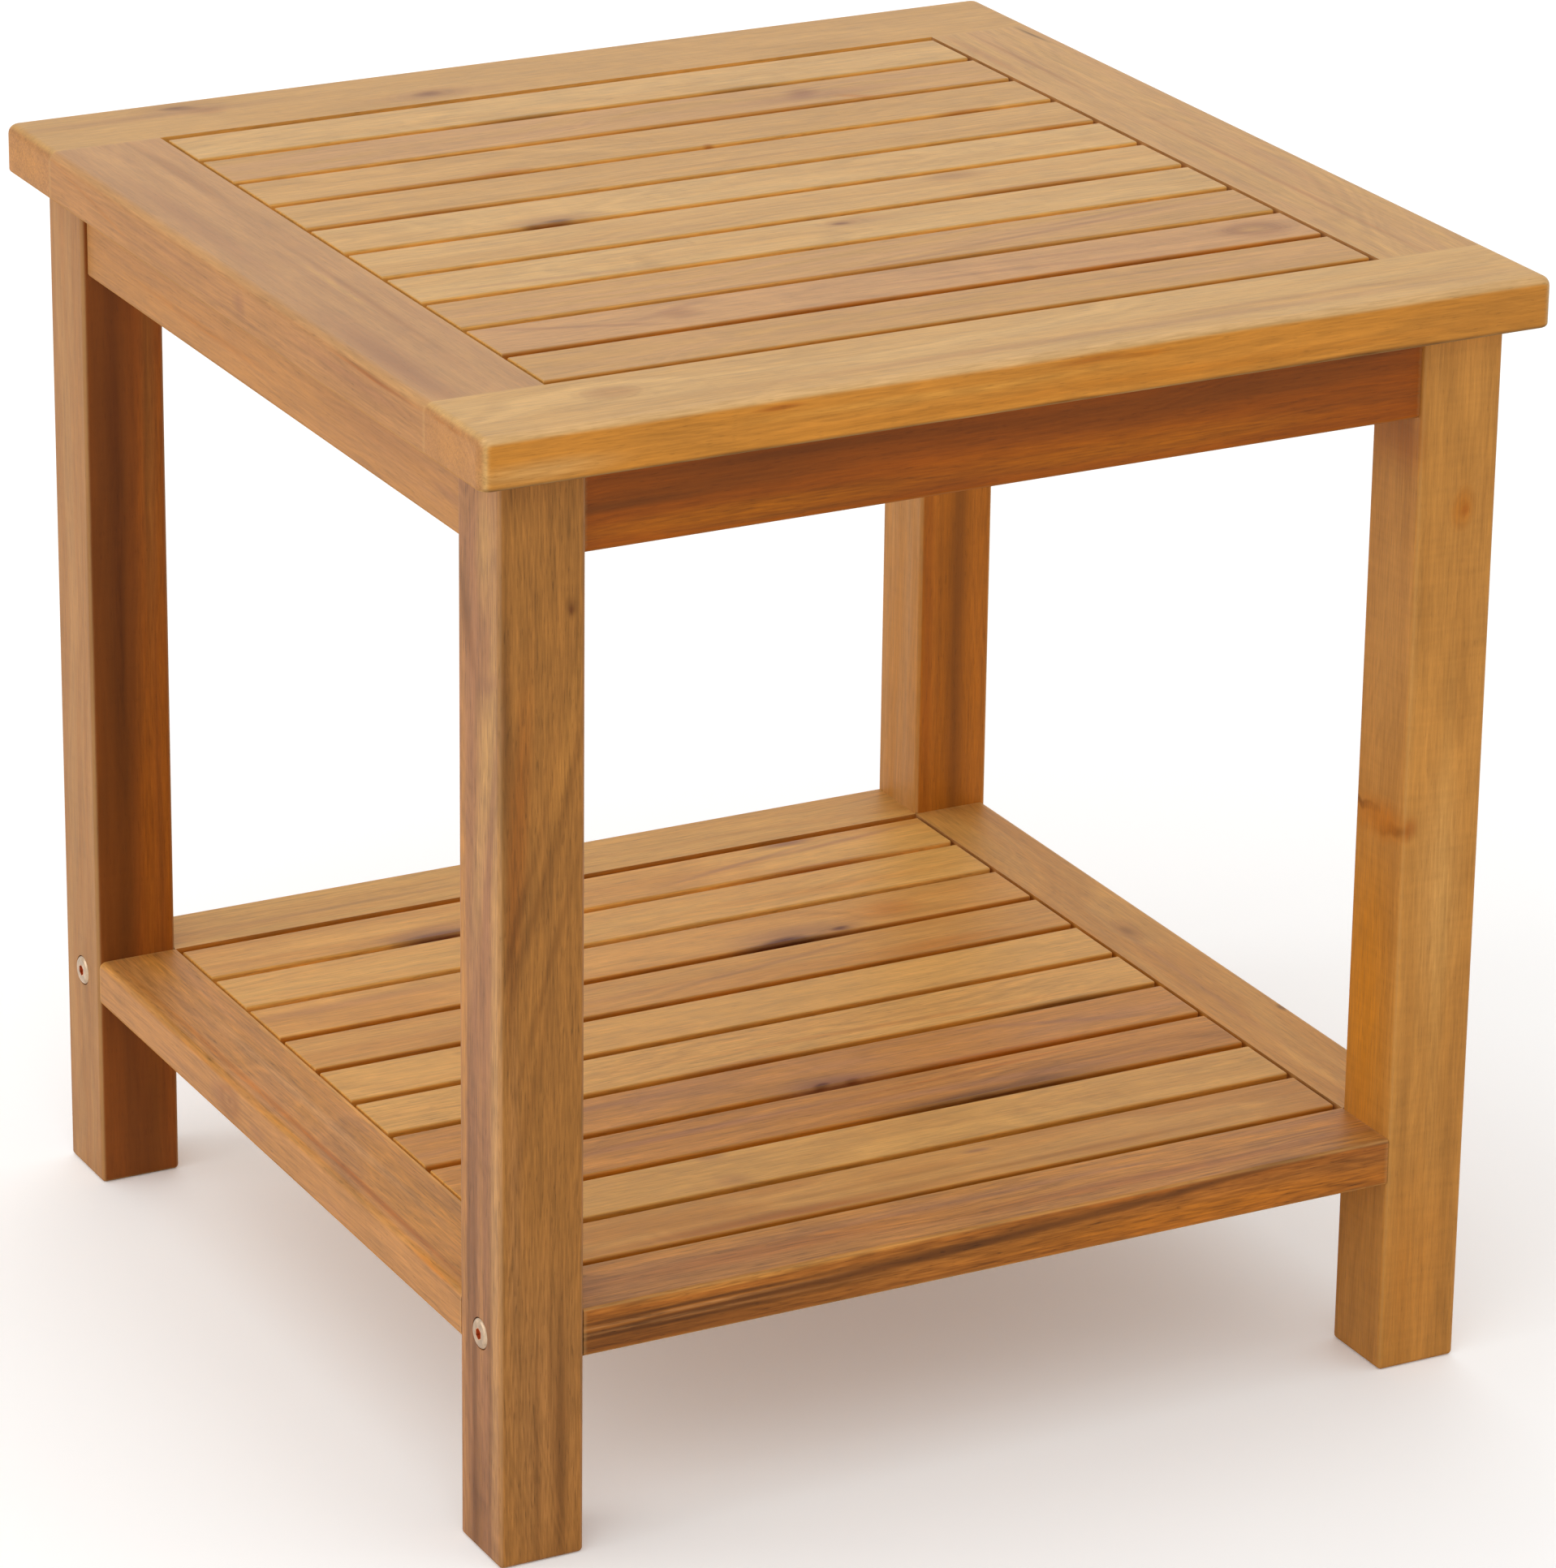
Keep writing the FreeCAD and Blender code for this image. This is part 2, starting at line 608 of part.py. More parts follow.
nut = fastener("hanger_nut")
hexagon(nut, "Additive", "hanger_nut_width", "hanger_nut_height")
cylinder(nut, "Subtractive", "hanger_bolt_diameter + 2 * screw_clearance", "hanger_nut_height")
copies("hanger_nuts", nut, hanger_nuts)

washer = fastener("hanger_washer")
cylinder(washer, "Additive", "hanger_washer_diameter", "hanger_washer_thickness")
cylinder(washer, "Subtractive", "hanger_bolt_diameter + 2 * bolt_clearance", "hanger_washer_thickness")
copies("hanger_washers", washer, hanger_washers)

doc.recompute()

for item in doc.Objects:
    if "Invalid" in item.State or "Error" in item.State:
        raise RuntimeError(f"{item.Name} failed: {item.State}")
for label, node in nodes.items():
    node.Label = label
    if node.Shape.isNull() or not node.Shape.isValid():
        raise RuntimeError(f"{label} has no valid shape")

os.makedirs("parts", exist_ok=True)
for label, node in nodes.items():
    node.Shape.exportStep(f"parts/{label}.step")
    print(label, len(node.Shape.Solids), round(node.Shape.Volume))
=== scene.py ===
from dataclasses import dataclass
from math import pi, radians

import bpy
from bpy.props import FloatProperty, FloatVectorProperty, PointerProperty
from mathutils import Euler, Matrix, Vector


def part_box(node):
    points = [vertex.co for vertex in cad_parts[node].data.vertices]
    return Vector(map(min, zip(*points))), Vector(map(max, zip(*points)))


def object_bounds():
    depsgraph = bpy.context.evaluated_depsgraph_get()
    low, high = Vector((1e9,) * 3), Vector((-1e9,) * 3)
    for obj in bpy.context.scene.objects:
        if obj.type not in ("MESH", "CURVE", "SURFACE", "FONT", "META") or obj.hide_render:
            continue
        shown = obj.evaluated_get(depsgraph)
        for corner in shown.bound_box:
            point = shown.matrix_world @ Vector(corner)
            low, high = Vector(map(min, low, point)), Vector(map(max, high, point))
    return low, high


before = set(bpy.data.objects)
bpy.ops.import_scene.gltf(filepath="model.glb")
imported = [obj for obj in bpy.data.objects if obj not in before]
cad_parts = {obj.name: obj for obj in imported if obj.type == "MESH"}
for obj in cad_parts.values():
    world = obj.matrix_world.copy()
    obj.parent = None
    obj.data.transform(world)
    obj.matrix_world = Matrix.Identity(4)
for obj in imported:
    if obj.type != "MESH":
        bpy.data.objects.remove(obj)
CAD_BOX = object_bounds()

bl_info = {
    "name": "Outdoor side table finish",
    "version": (1, 0, 0),
    "blender": (4, 5, 0),
    "location": "View3D > Sidebar > Side Table",
    "description": "Oils every board of the table, plates its fasteners and lights a pale studio",
    "category": "Material",
}

# Places on the table are in millimetres here, as a joiner measures them; Blender works in metres
MM = 1000
SIDES = ("left", "right")
ENDS = ("front", "back")
RAILS = ENDS + SIDES
CORNERS = tuple(f"{end}_{side}" for end in ENDS for side in SIDES)
SLATS = range(1, 11)

# How the oiled wood takes the light: roughness on faces that look down, its change from fibre to fibre, the
# strength of the mirror, and the height of the fibres in millimetres
ROUGH_BELOW = 0.95
FIBRE_ROUGHNESS = 0.16
OIL_SPECULAR = 0.15
FIBRE_HEIGHT = 0.15
# How strongly an edge tone covers the figure, and straw the arrises, which is partly rubbed wear and partly a painted
# highlight along them
EDGE_STRENGTH = 0.88
RUB_AND_HIGHLIGHT_STRENGTH = 0.2
# How far apart in their noise two boards are drawn
SEED_STEP = 7.3
# Widths of the bands that the rings of the tree make, in millimetres
BROAD_BAND = 8
YEAR_RING = 1.7
# How far the sway of the grain moves the rings, the small ripple in it moves them, and the sway moves a mark
RING_SWAY = (0, 34, 34)
RING_RIPPLE = (0, 6, 6)
MARK_SWAY = (14, 3.4, 3.4)
# Between these radii, in millimetres, the tone of a bolt's socket ends
SOCKET_RADII = (2.1, 2.5)
FLOOR_SIZE = 30


def tone(red, green, blue):
    """A colour given as 0 to 255 values, as a shader reads it."""
    def linear(value):
        share = value / 255
        return share / 12.92 if share <= 0.04045 else ((share + 0.055) / 1.055) ** 2.4
    return tuple(linear(value) for value in (red, green, blue))


def colour(name, description, red, green, blue):
    """A colour that a user can change."""
    return FloatVectorProperty(name=name, description=description, subtype="COLOR", size=3, min=0, max=1,
                               default=tone(red, green, blue))


def share(name, description, default):
    """A number from 0 to 1 that a user can change."""
    return FloatProperty(name=name, description=description, subtype="FACTOR", min=0, max=1, default=default)


class TimberTones(bpy.types.PropertyGroup):
    """The tones of the oiled hardwood, and how its surface takes the light."""
    straw: colour("Straw", "The palest sapwood of the tabletop", 200, 157, 97)
    honey: colour("Honey", "The common tone of the tabletop", 192, 146, 85)
    sand: colour("Sand", "Slightly darker boards of the tabletop", 186, 139, 77)
    rose: colour("Rose", "Pinkish boards of the tabletop", 186, 138, 86)
    dusk: colour("Dusk", "Greyish brown streaks of the pinkish boards", 150, 102, 68)
    gold: colour("Gold", "The palest slats of the shelf", 209, 158, 84)
    wheat: colour("Wheat", "The common tone of the shelf", 202, 148, 76)
    tan: colour("Tan", "Light brown legs and rails", 187, 128, 58)
    clay: colour("Clay", "Pinkish brown sides", 170, 118, 69)
    amber: colour("Amber", "Orange sides of rails and slats", 192, 122, 34)
    # Apricot is partly the sides' own pale orange and partly painted light: a paler tone that lifts the shade inside
    # the gaps, on slat edges and ends and on the rails' inner faces
    apricot: colour("Apricot", "Pale orange sides of rails and slats", 222, 160, 72)
    copper: colour("Copper", "Orange brown sides and bands", 178, 102, 14)
    hazel: colour("Hazel", "Olive brown legs", 158, 104, 43)
    russet: colour("Russet", "Dark orange brown heartwood", 148, 74, 8)
    umber: colour("Umber", "Dark streaks of the heartwood", 90, 50, 16)
    ash: colour("Ash", "Dull brown stain round the knots", 136, 84, 48)
    bark: colour("Bark", "The dark core of a knot", 86, 33, 5)
    # Lip is a painted highlight, not wear: a paler tone on the upper rounding of the tabletop's front, so that it
    # looks lit like the top
    painted_edge_highlight: colour("Lip", "The rubbed upper edge of the tabletop", 212, 170, 117)
    planed: colour("Planed", "Bare wood under the table", 196, 152, 98)
    beech: colour("Beech", "Turned dowels", 206, 172, 128)
    gloss: share("Roughness", "How matt the oiled surface is", 0.5)
    relief: share("Relief", "How much of the grain can be felt", 0.25)


class PlatedSteel(bpy.types.PropertyGroup):
    """The finish of the fasteners."""
    # The zinc's warm tint is partly its plate and partly a painted reflection of the wood round the heads
    zinc: colour("Zinc", "Bright zinc plate of bolts and nuts", 204, 177, 148)
    yellow: colour("Yellow zinc", "Plate of the wood screws", 196, 170, 112)
    # The socket tone is painted light: a warm brown paler than the shaded bottom, which lifts the shade in the socket
    socket: colour("Socket", "The shaded bottom of the bolts' sockets", 228, 158, 108)
    gloss: share("Roughness", "How dull the plate is", 0.3)


class PaleStudio(bpy.types.PropertyGroup):
    """The camera, the floor and the light."""
    camera_place: FloatVectorProperty(name="Camera", description="Where the camera stands", subtype="TRANSLATION",
                                      unit="LENGTH", size=3, default=(-1.23797, -2.36213, 1.24983))
    camera_turn: FloatVectorProperty(name="Direction", description="How the camera is turned", subtype="EULER",
                                     unit="ROTATION", size=3,
                                     default=(radians(69.4072), radians(-0.2598), radians(-26.4853)))
    lens: FloatProperty(name="Lens", description="Focal length in millimetres", unit="CAMERA", default=162.655)
    shift_x: FloatProperty(name="Shift across", description="Shift of the lens across", default=0.098655)
    shift_y: FloatProperty(name="Shift up", description="Shift of the lens upwards", default=-0.060143)
    floor: colour("Floor", "The pale floor", 249, 249, 248)
    floor_glow: share("Floor glow", "How much paler the camera sees the floor", 0.12)
    ambient: share("Ambient", "Light from all round", 0.86)
    key: FloatProperty(name="Front lamp", description="Power of the lamp at the front left", unit="POWER", default=8)
    left: FloatProperty(name="Left lamp", description="Power of the lamp at the left", unit="POWER", default=14)
    back: FloatProperty(name="Back lamp", description="Power of the lamp behind", unit="POWER", default=11)


class Graph:
    """Adds nodes to a tree, one a call, and hands back the output of each."""

    def __init__(self, tree):
        self.tree = tree

    def node(self, kind, **settings):
        made = self.tree.nodes.new(f"ShaderNode{kind}")
        for name, value in settings.items():
            setattr(made, name, value)
        return made

    def feed(self, socket, value):
        """Links a socket to an output, or gives it a value."""
        if isinstance(value, bpy.types.NodeSocket):
            self.tree.links.new(value, socket)
        else:
            socket.default_value = value

    def math(self, operation, *values, clamp=False):
        made = self.node("Math", operation=operation, use_clamp=clamp)
        for socket, value in zip(made.inputs, values):
            self.feed(socket, value)
        return made.outputs[0]

    def vector(self, operation, *values):
        made = self.node("VectorMath", operation=operation)
        for socket, value in zip(made.inputs, values):
            self.feed(socket, value)
        return made.outputs["Value" if operation == "LENGTH" else "Vector"]

    def scaled(self, vector, factor):
        made = self.node("VectorMath", operation="SCALE")
        self.feed(made.inputs[0], vector)
        self.feed(made.inputs["Scale"], factor)
        return made.outputs[0]

    def split(self, vector):
        made = self.node("SeparateXYZ")
        self.feed(made.inputs[0], vector)
        return made.outputs[:3]

    def fade(self, value, start, end, low=0.0, high=1.0):
        """Goes smoothly from low to high as a value goes from start to end."""
        made = self.node("MapRange", interpolation_type="SMOOTHSTEP")
        for name, number in (("Value", value), ("From Min", start), ("From Max", end),
                             ("To Min", low), ("To Max", high)):
            self.feed(made.inputs[name], number)
        return made.outputs["Result"]

    def noise(self, place, lengths, detail, seed):
        """Noise whose patches have the given lengths in millimetres: its value and its colour."""
        spot = self.vector("MULTIPLY_ADD", place, tuple(1 / length for length in lengths), seed)
        made = self.node("TexNoise")
        self.feed(made.inputs["Vector"], spot)
        self.feed(made.inputs["Scale"], 1.0)
        self.feed(made.inputs["Detail"], detail)
        return made.outputs["Fac"], made.outputs["Color"]

    def bands(self, distance, width, detail, seed):
        """Uneven bands that follow a distance."""
        made = self.node("TexNoise", noise_dimensions="1D")
        self.feed(made.inputs["W"], self.math("MULTIPLY_ADD", distance, 1 / width, seed))
        self.feed(made.inputs["Scale"], 1.0)
        self.feed(made.inputs["Detail"], detail)
        return made.outputs["Fac"]

    def blend(self, amount, first, second):
        """Mixes two colours."""
        made = self.node("Mix", data_type="RGBA")
        factor, *_, start, finish = [socket for socket in made.inputs if socket.enabled]
        self.feed(factor, amount)
        for socket, value in ((start, first), (finish, second)):
            self.feed(socket, value if isinstance(value, bpy.types.NodeSocket) else (*value, 1))
        return next(socket for socket in made.outputs if socket.enabled)


@dataclass
class Mark:
    """An oval stain about a place of the table, in millimetres; reach goes along and across the grain.

    Lean turns it, in degrees, about the two axes across the grain, and bulge bends the rings round it.
    """
    place: tuple
    reach: tuple
    tone: str
    strength: float
    lean: tuple = (0, 0)
    bulge: float = 0


@dataclass
class Board:
    """How one board was cut and coloured; heart and lean place the middle of its tree, in millimetres.

    Edge is the tone of its front and back, or of the sides of a side rail. Grain says how much the figure along
    the board shows, side_grain the same on its narrow sides, and ripple how much the figure across it shows.
    """
    pale: str
    deep: str
    figure: float = 0.6
    level: float = 1.0
    heart: tuple = (30, -40)
    lean: tuple = (0.03, 0)
    edge: str = ""
    marks: tuple = ()
    grain: float = 1.0
    ripple: float = 0.05
    side_grain: float = 1.4


def knot(x, y, z, size, depth=0.8):
    """A knot: a dark core in a dull brown halo that bends the grain round it."""
    return (Mark((x, y, z), (4.5 * size, 1.9 * size, 2.2 * size), "ash", 0.6 * depth, bulge=1.6 * size),
            Mark((x, y, z), (1.6 * size, 0.9 * size, size), "bark", depth))


def ring_knot(x, y, z, size, depth=0.6):
    """A healed knot: a pale middle in a dull brown ring."""
    return (Mark((x, y, z), (2.6 * size, 1.6 * size, 1.6 * size), "ash", depth, bulge=1.5 * size),
            Mark((x, y, z), (1.2 * size, 0.8 * size, size), "honey", 0.7 * depth))


# What the boards look like: side rails lie along Y, legs stand along Z, all others along X. Top faces lie at 454.5,
# or 101 on the shelf; a mark that is placed a little above or below one shows less of itself there
BOARDS = {
    "top_front_rail": Board("straw", "sand", 0.6, 1.0, (50, -50), (0.04, 0), "amber", (
        *ring_knot(-160, -195, 455, 5, 0.4), Mark((60, -211, 455), (190, 4, 5), "dusk", 0.4),
        Mark((120, -204, 455), (90, 2, 5), "dusk", 0.3), Mark((-106, -225, 450), (11, 2, 1.2), "russet", 0.7),
        Mark((24, -225, 450), (20, 2, 1.8), "russet", 0.5), Mark((46, -225, 449), (14, 2, 1.4), "copper", 0.6),
        # Along the front rail: lip is a painted highlight on the upper rounding, and the umber line on the lower
        # rounding is painted shade
        Mark((0, -223.4, 453.9), (900, 2.8, 2.3), "painted_edge_highlight", 0.9), Mark((0, -225, 434.5), (900, 2, 1.7), "umber", 0.9),
        Mark((-203, -225, 440), (36, 6, 5), "straw", 0.45), Mark((60, -225, 440), (150, 6, 3), "copper", 0.3),
        Mark((205, -225, 444), (50, 6, 12), "hazel", 0.3), Mark((-40, -225, 446), (90, 6, 2), "apricot", 0.35),
        Mark((-224, -196, 451.8), (4, 14, 0.9), "russet", 0.45), Mark((-225, -200, 444), (6, 26, 11), "tan", 0.35),
    ), grain=0.85, side_grain=1.0),
    "top_back_rail": Board("honey", "sand", 0.6, 0.98, (40, -60), (0.02, 0.05), "apricot", (
        *knot(-152, 213, 455, 5, 0.55), *knot(-50, 189, 455, 4.5, 0.6),
        Mark((-170, 207, 455), (70, 5, 5), "dusk", 0.35), Mark((-48, 187, 455), (46, 8, 5), "dusk", 0.3),
        Mark((-146, 205, 455), (10, 7, 5), "ash", 0.35), Mark((-225, 203, 445), (6, 26, 11), "tan", 0.4),
    ), grain=0.85),
    "top_left_rail": Board("rose", "dusk", 0.35, 0.97, (20, -70), (0.05, 0), "clay", (
        Mark((-190, 130, 455), (60, 4, 4), "ash", 0.35, (0, 1)),
        Mark((-192, -60, 455), (90, 2.4, 4), "ash", 0.35, (0, -1)), Mark((-214, -130, 455), (80, 9, 6), "dusk", 0.6),
        Mark((-196, -35, 455), (44, 2, 4), "honey", 0.7), Mark((-212, 60, 455), (80, 8, 5), "dusk", 0.35),
        Mark((-225, -12, 445), (6, 3, 6), "dusk", 0.7), Mark((-225, 145, 448), (36, 3, 1.4), "clay", 0.7, (-8, 0)),
        Mark((-225, -135, 451), (40, 3, 1), "russet", 0.6), Mark((-225, -120, 446), (70, 3, 2), "dusk", 0.4),
        Mark((-225, 60, 446), (80, 3, 2), "dusk", 0.35),
        Mark((-225, 130, 445), (44, 3, 1.2), "copper", 0.25, (-9, 0)),
        Mark((-225, 30, 440), (120, 3, 1), "dusk", 0.4), Mark((-225, -110, 445), (60, 3, 5), "dusk", 0.35),
        # The apricot on the inner face beside the slats' ends is painted light that lifts the shade in the gap
        Mark((-176.5, 0, 445), (220, 3, 8), "apricot", 2.0),
    ), grain=0.85, side_grain=1.15),
    "top_right_rail": Board("honey", "rose", 0.8, 0.98, (40, -20), (0.0, 0.03), "clay", (
        Mark((198, -60, 455), (150, 1.6, 4), "clay", 0.8), Mark((183, 140, 455), (40, 3, 4), "clay", 0.7),
        Mark((194, 120, 455), (60, 1.6, 4), "clay", 0.7), Mark((217, 165, 455), (15, 1.1, 3), "umber", 0.7, (0, 2)),
        # The apricot on the inner face beside the slats' ends is painted light that lifts the shade in the gap
        Mark((210, -80, 455), (90, 3, 4), "dusk", 0.25), Mark((176.5, 0, 445), (220, 3, 8), "apricot", 2.0),
    ), grain=0.9),
    "top_slat_01": Board("sand", "rose", 0.7, 1.0, (26, -14), (0.02, 0), "amber", (
        Mark((20, -160, 455), (110, 1.5, 4), "dusk", 0.35), Mark((80, -152, 455), (90, 1.5, 4), "dusk", 0.3),
    )),
    "top_slat_02": Board("rose", "dusk", 0.2, 1.06, (30, -20), (-0.12, 0), "copper", (
        Mark((-135, -121, 455), (44, 2, 4), "dusk", 0.6, (0, -18)), Mark((-95, -122, 455), (10, 8, 6), "ash", 0.45),
        Mark((-98, -118, 455), (30, 3, 5), "dusk", 0.4, (0, 20)),
        Mark((40, -127, 455), (80, 2, 4), "dusk", 0.5, (0, -4)),
        Mark((60, -118, 455), (70, 2, 4), "dusk", 0.35, (0, -3)), *ring_knot(156, -122, 455, 7, 0.75),
        Mark((-38, -138.4, 452), (60, 3, 6), "russet", 0.9), Mark((90, -138.4, 452), (56, 3, 6), "russet", 0.9),
        Mark((-60, -138.4, 450), (34, 3, 3), "umber", 0.6), Mark((30, -138.4, 452), (190, 2.2, 6), "copper", 0.5),
    )),
    "top_slat_03": Board("sand", "rose", 0.9, 1.01, (-40, -10), (0.1, 0), "apricot", (
        Mark((90, -88, 455), (90, 1.8, 4), "dusk", 0.5, (0, 7)),
        Mark((20, -98, 455), (60, 1.6, 4), "dusk", 0.45, (0, 4)),
        Mark((110, -80, 455), (60, 1.4, 4), "dusk", 0.4, (0, 7)), Mark((20, -103, 452), (150, 2.2, 6), "russet", 0.4),
    )),
    "top_slat_04": Board("straw", "honey", 0.8, 0.99, (10, -60), (0.02, 0.02), "apricot", (
        *knot(15, -47, 455, 2.8, 0.6), Mark((24, -45, 455), (18, 7, 5), "ash", 0.3),
        Mark((-120, -62, 455), (60, 2.4, 4), "dusk", 0.35, (0, -4)),
    )),
    "top_slat_05": Board("honey", "straw", 0.7, 1.0, (-20, -50), (0.01, 0.03), "apricot", (
        Mark((86, -8, 455), (16, 7, 6), "ash", 0.4), Mark((110, -33, 452), (60, 2.4, 5), "russet", 0.6),
        Mark((-60, -25, 455), (70, 2, 4), "dusk", 0.2),
    )),
    "top_slat_06": Board("straw", "honey", 0.8, 1.0, (20, -45), (-0.02, 0.03), "apricot", (
        Mark((-87, 5, 454), (24, 9, 6), "ash", 0.45), Mark((-95, 1.6, 453), (6, 3, 5), "umber", 0.8),
        Mark((-85, 3, 454), (8, 3.6, 4), "umber", 0.9), Mark((-88, 1, 452), (13, 3, 5), "russet", 0.9),
    )),
    "top_slat_07": Board("honey", "sand", 0.8, 1.0, (-30, -35), (0.02, 0), "apricot", (
        Mark((-130, 37, 452), (56, 2.4, 5), "russet", 0.7), Mark((160, 37, 452), (26, 2.4, 5), "russet", 0.6),
        Mark((40, 50, 455), (80, 1.8, 4), "dusk", 0.2),
    )),
    "top_slat_08": Board("honey", "sand", 0.8, 1.0, (40, -30), (0.0, 0.04), "apricot", (
        Mark((-75, 73, 455), (16, 4, 5), "copper", 0.5), Mark((18, 72, 453), (3, 3, 4), "russet", 0.7),
        Mark((135, 72, 452), (16, 2.5, 5), "russet", 0.7), Mark((-110, 72, 452), (70, 2.2, 5), "russet", 0.4),
    )),
    "top_slat_09": Board("sand", "rose", 0.9, 1.0, (-34, -26), (0.03, 0), "apricot", (
        Mark((86, 123, 455), (12, 6, 6), "ash", 0.7, (0, 30)), Mark((90, 119, 455), (46, 8, 6), "dusk", 0.5),
        Mark((104, 111, 455), (11, 3, 5), "copper", 0.5, (0, -30)), Mark((-20, 120, 455), (90, 2, 4), "dusk", 0.25),
        Mark((60, 107, 452), (120, 2.2, 5), "russet", 0.5),
    )),
    "top_slat_10": Board("straw", "honey", 0.8, 0.99, (15, -55), (-0.02, 0.02), "apricot", (
        Mark((-30, 142, 452), (34, 3, 5), "umber", 0.6), Mark((68, 142, 452), (22, 3, 5), "umber", 0.5),
    )),
    "apron_front": Board("russet", "umber", 0.3, 1.02, (10, 60), (0, 0.02), "", (
        Mark((-160, -209.5, 416), (44, 4, 2.6), "umber", 0.5), Mark((-95, -209.5, 404), (56, 4, 1.4), "umber", 0.6),
        Mark((-110, -209.5, 421), (70, 4, 12), "umber", 0.35), Mark((120, -209.5, 424), (56, 4, 9), "umber", 0.25),
        Mark((-110, -209.5, 407), (80, 4, 5), "copper", 0.6), Mark((70, -209.5, 407), (90, 4, 5), "copper", 0.35),
        Mark((60, -209.5, 422), (120, 4, 5), "umber", 0.35),
        Mark((140, -209.5, 430), (40, 4, 2), "umber", 0.5, (3, 0)),
        Mark((-60, -209.5, 426), (150, 4, 4), "umber", 0.3), Mark((30, -209.5, 410), (90, 4, 7), "copper", 0.3),
    ), side_grain=1.1),
    "apron_back": Board("russet", "umber", 0.3, 1.0, (20, 60), (0, 0.02)),
    "apron_left": Board("clay", "tan", 0.3, 1.0, (10, 50), (0, 0.03), "", (
        Mark((-209.5, -165, 414), (18, 4, 3), "dusk", 0.5), Mark((-209.5, 60, 412), (70, 4, 2), "copper", 0.3),
        Mark((-209.5, -100, 418), (60, 4, 7), "dusk", 0.35),
    ), side_grain=0.9),
    "apron_right": Board("clay", "tan", 0.7, 1.02, (20, 50), (0, 0.03)),
    "leg_front_left": Board("dusk", "clay", 0.6, 0.97, (10, -34), (0.05, 0.06), "hazel", (
        Mark((-210, -212, 330), (90, 4, 5), "umber", 0.55, (-1, 0)),
        Mark((-204, -212, 290), (80, 3, 5), "russet", 0.4, (3, 0)),
        Mark((-204, -212, 262), (48, 3, 2.4), "umber", 0.4, (15, 0)),
        Mark((-196, -212, 270), (54, 3, 2.6), "umber", 0.4, (16, 0)),
        Mark((-192, -212, 240), (56, 3, 2.2), "umber", 0.35, (16, 0)),
        Mark((-187, -212, 296), (50, 3, 2.4), "umber", 0.35, (12, 0)),
        Mark((-199, -212, 190), (60, 3, 3), "umber", 0.25, (12, 0)), Mark((-183, -212, 383), (5, 3, 3), "umber", 0.5),
        Mark((-183, -212, 382), (2.4, 3, 1.4), "bark", 0.5), Mark((-195, -212, 60), (80, 4, 24), "clay", 0.35),
        Mark((-212, -208, 260), (260, 5, 4), "honey", 0.45), Mark((-184, -212, 330), (60, 3, 4), "tan", 0.3, (8, 0)),
        Mark((-206, -212, 150), (90, 3, 4), "clay", 0.35), Mark((-187, -212, 50), (80, 4, 4), "umber", 0.5),
        Mark((-197, -212, 40), (60, 3, 1.6), "umber", 0.35), Mark((-191, -212, 90), (50, 3, 1.2), "umber", 0.35),
        Mark((-212, -191, 150), (150, 4, 5), "dusk", 0.8), Mark((-212, -190, 70), (110, 3, 5), "umber", 0.45),
        Mark((-212, -193, 10), (60, 8, 5), "umber", 0.4), Mark((-212, -207, 110), (150, 5, 4), "rose", 0.5),
        Mark((-212, -181, 220), (170, 3, 4), "tan", 0.5), Mark((-212, -199, 120), (120, 2.4, 4), "dusk", 0.8),
        Mark((-212, -203, 60), (90, 2, 4), "umber", 0.3), Mark((-212, -185, 130), (120, 2.2, 4), "umber", 0.3),
        Mark((-212, -191, 240), (90, 2.4, 4), "dusk", 0.8),
        Mark((-212, -201, 265), (80, 2.6, 4), "dusk", 0.6, (0, -6)),
        Mark((-212, -198, 300), (70, 7, 4), "honey", 0.45, (0, -8)),
        Mark((-212, -185, 374), (34, 5, 5), "umber", 0.4, (0, 16)), Mark((-212, -200, 330), (30, 9, 5), "honey", 0.4),
        Mark((-212, -200, 353), (5, 16, 4), "dusk", 0.6, (0, 12)),
        Mark((-212, -206, 300), (60, 3, 4), "dusk", 0.5, (0, -8)), Mark((-212, -200, 405), (30, 8, 4), "honey", 0.5),
    ), grain=1.6, ripple=0.08),
    "leg_front_right": Board("tan", "hazel", 0.55, 1.04, (34, 20), (0.03, 0.04), "", (
        Mark((197, -212, 361), (9, 3, 6), "copper", 0.6, (0, 0), 5),
        Mark((198, -212, 360), (3, 3, 2.4), "russet", 0.5), Mark((179, -212, 231), (6, 3, 5), "russet", 0.6),
        # The russet patch at the top of the left face, under the apron, is painted shade; the umber beside it is a
        # crack
        Mark((177, -195, 392), (18, 26, 4), "russet", 0.6), Mark((177, -186, 235), (2.4, 11, 4), "umber", 1.5),
        Mark((177, -201, 229), (3.2, 12, 4), "umber", 1.3, (0, 10)),
        Mark((177, -195, 232), (10, 20, 4), "copper", 0.9), Mark((177, -190, 150), (90, 20, 5), "amber", 0.85),
        Mark((177, -190, 320), (90, 16, 5), "tan", 0.4), Mark((196, -212, 200), (110, 3, 5), "wheat", 0.3),
        Mark((183, -212, 120), (90, 3, 4), "hazel", 0.5), Mark((204, -212, 60), (70, 3, 5), "hazel", 0.4),
        Mark((177, -195, 300), (90, 30, 4), "honey", 0.25), Mark((194, -212, 205), (60, 4, 12), "honey", 0.3),
        Mark((190, -212, 40), (50, 4, 20), "copper", 0.25),
    ), grain=0.85, ripple=0.17),
    # The russet edge tone of the front and back faces is partly the wood's tone and partly painted shade, the
    # darkness of the front, which stands in shade under the table
    "leg_back_left": Board("clay", "rose", 0.5, 0.87, (0, 40), (0.0, 0.02), "russet", (
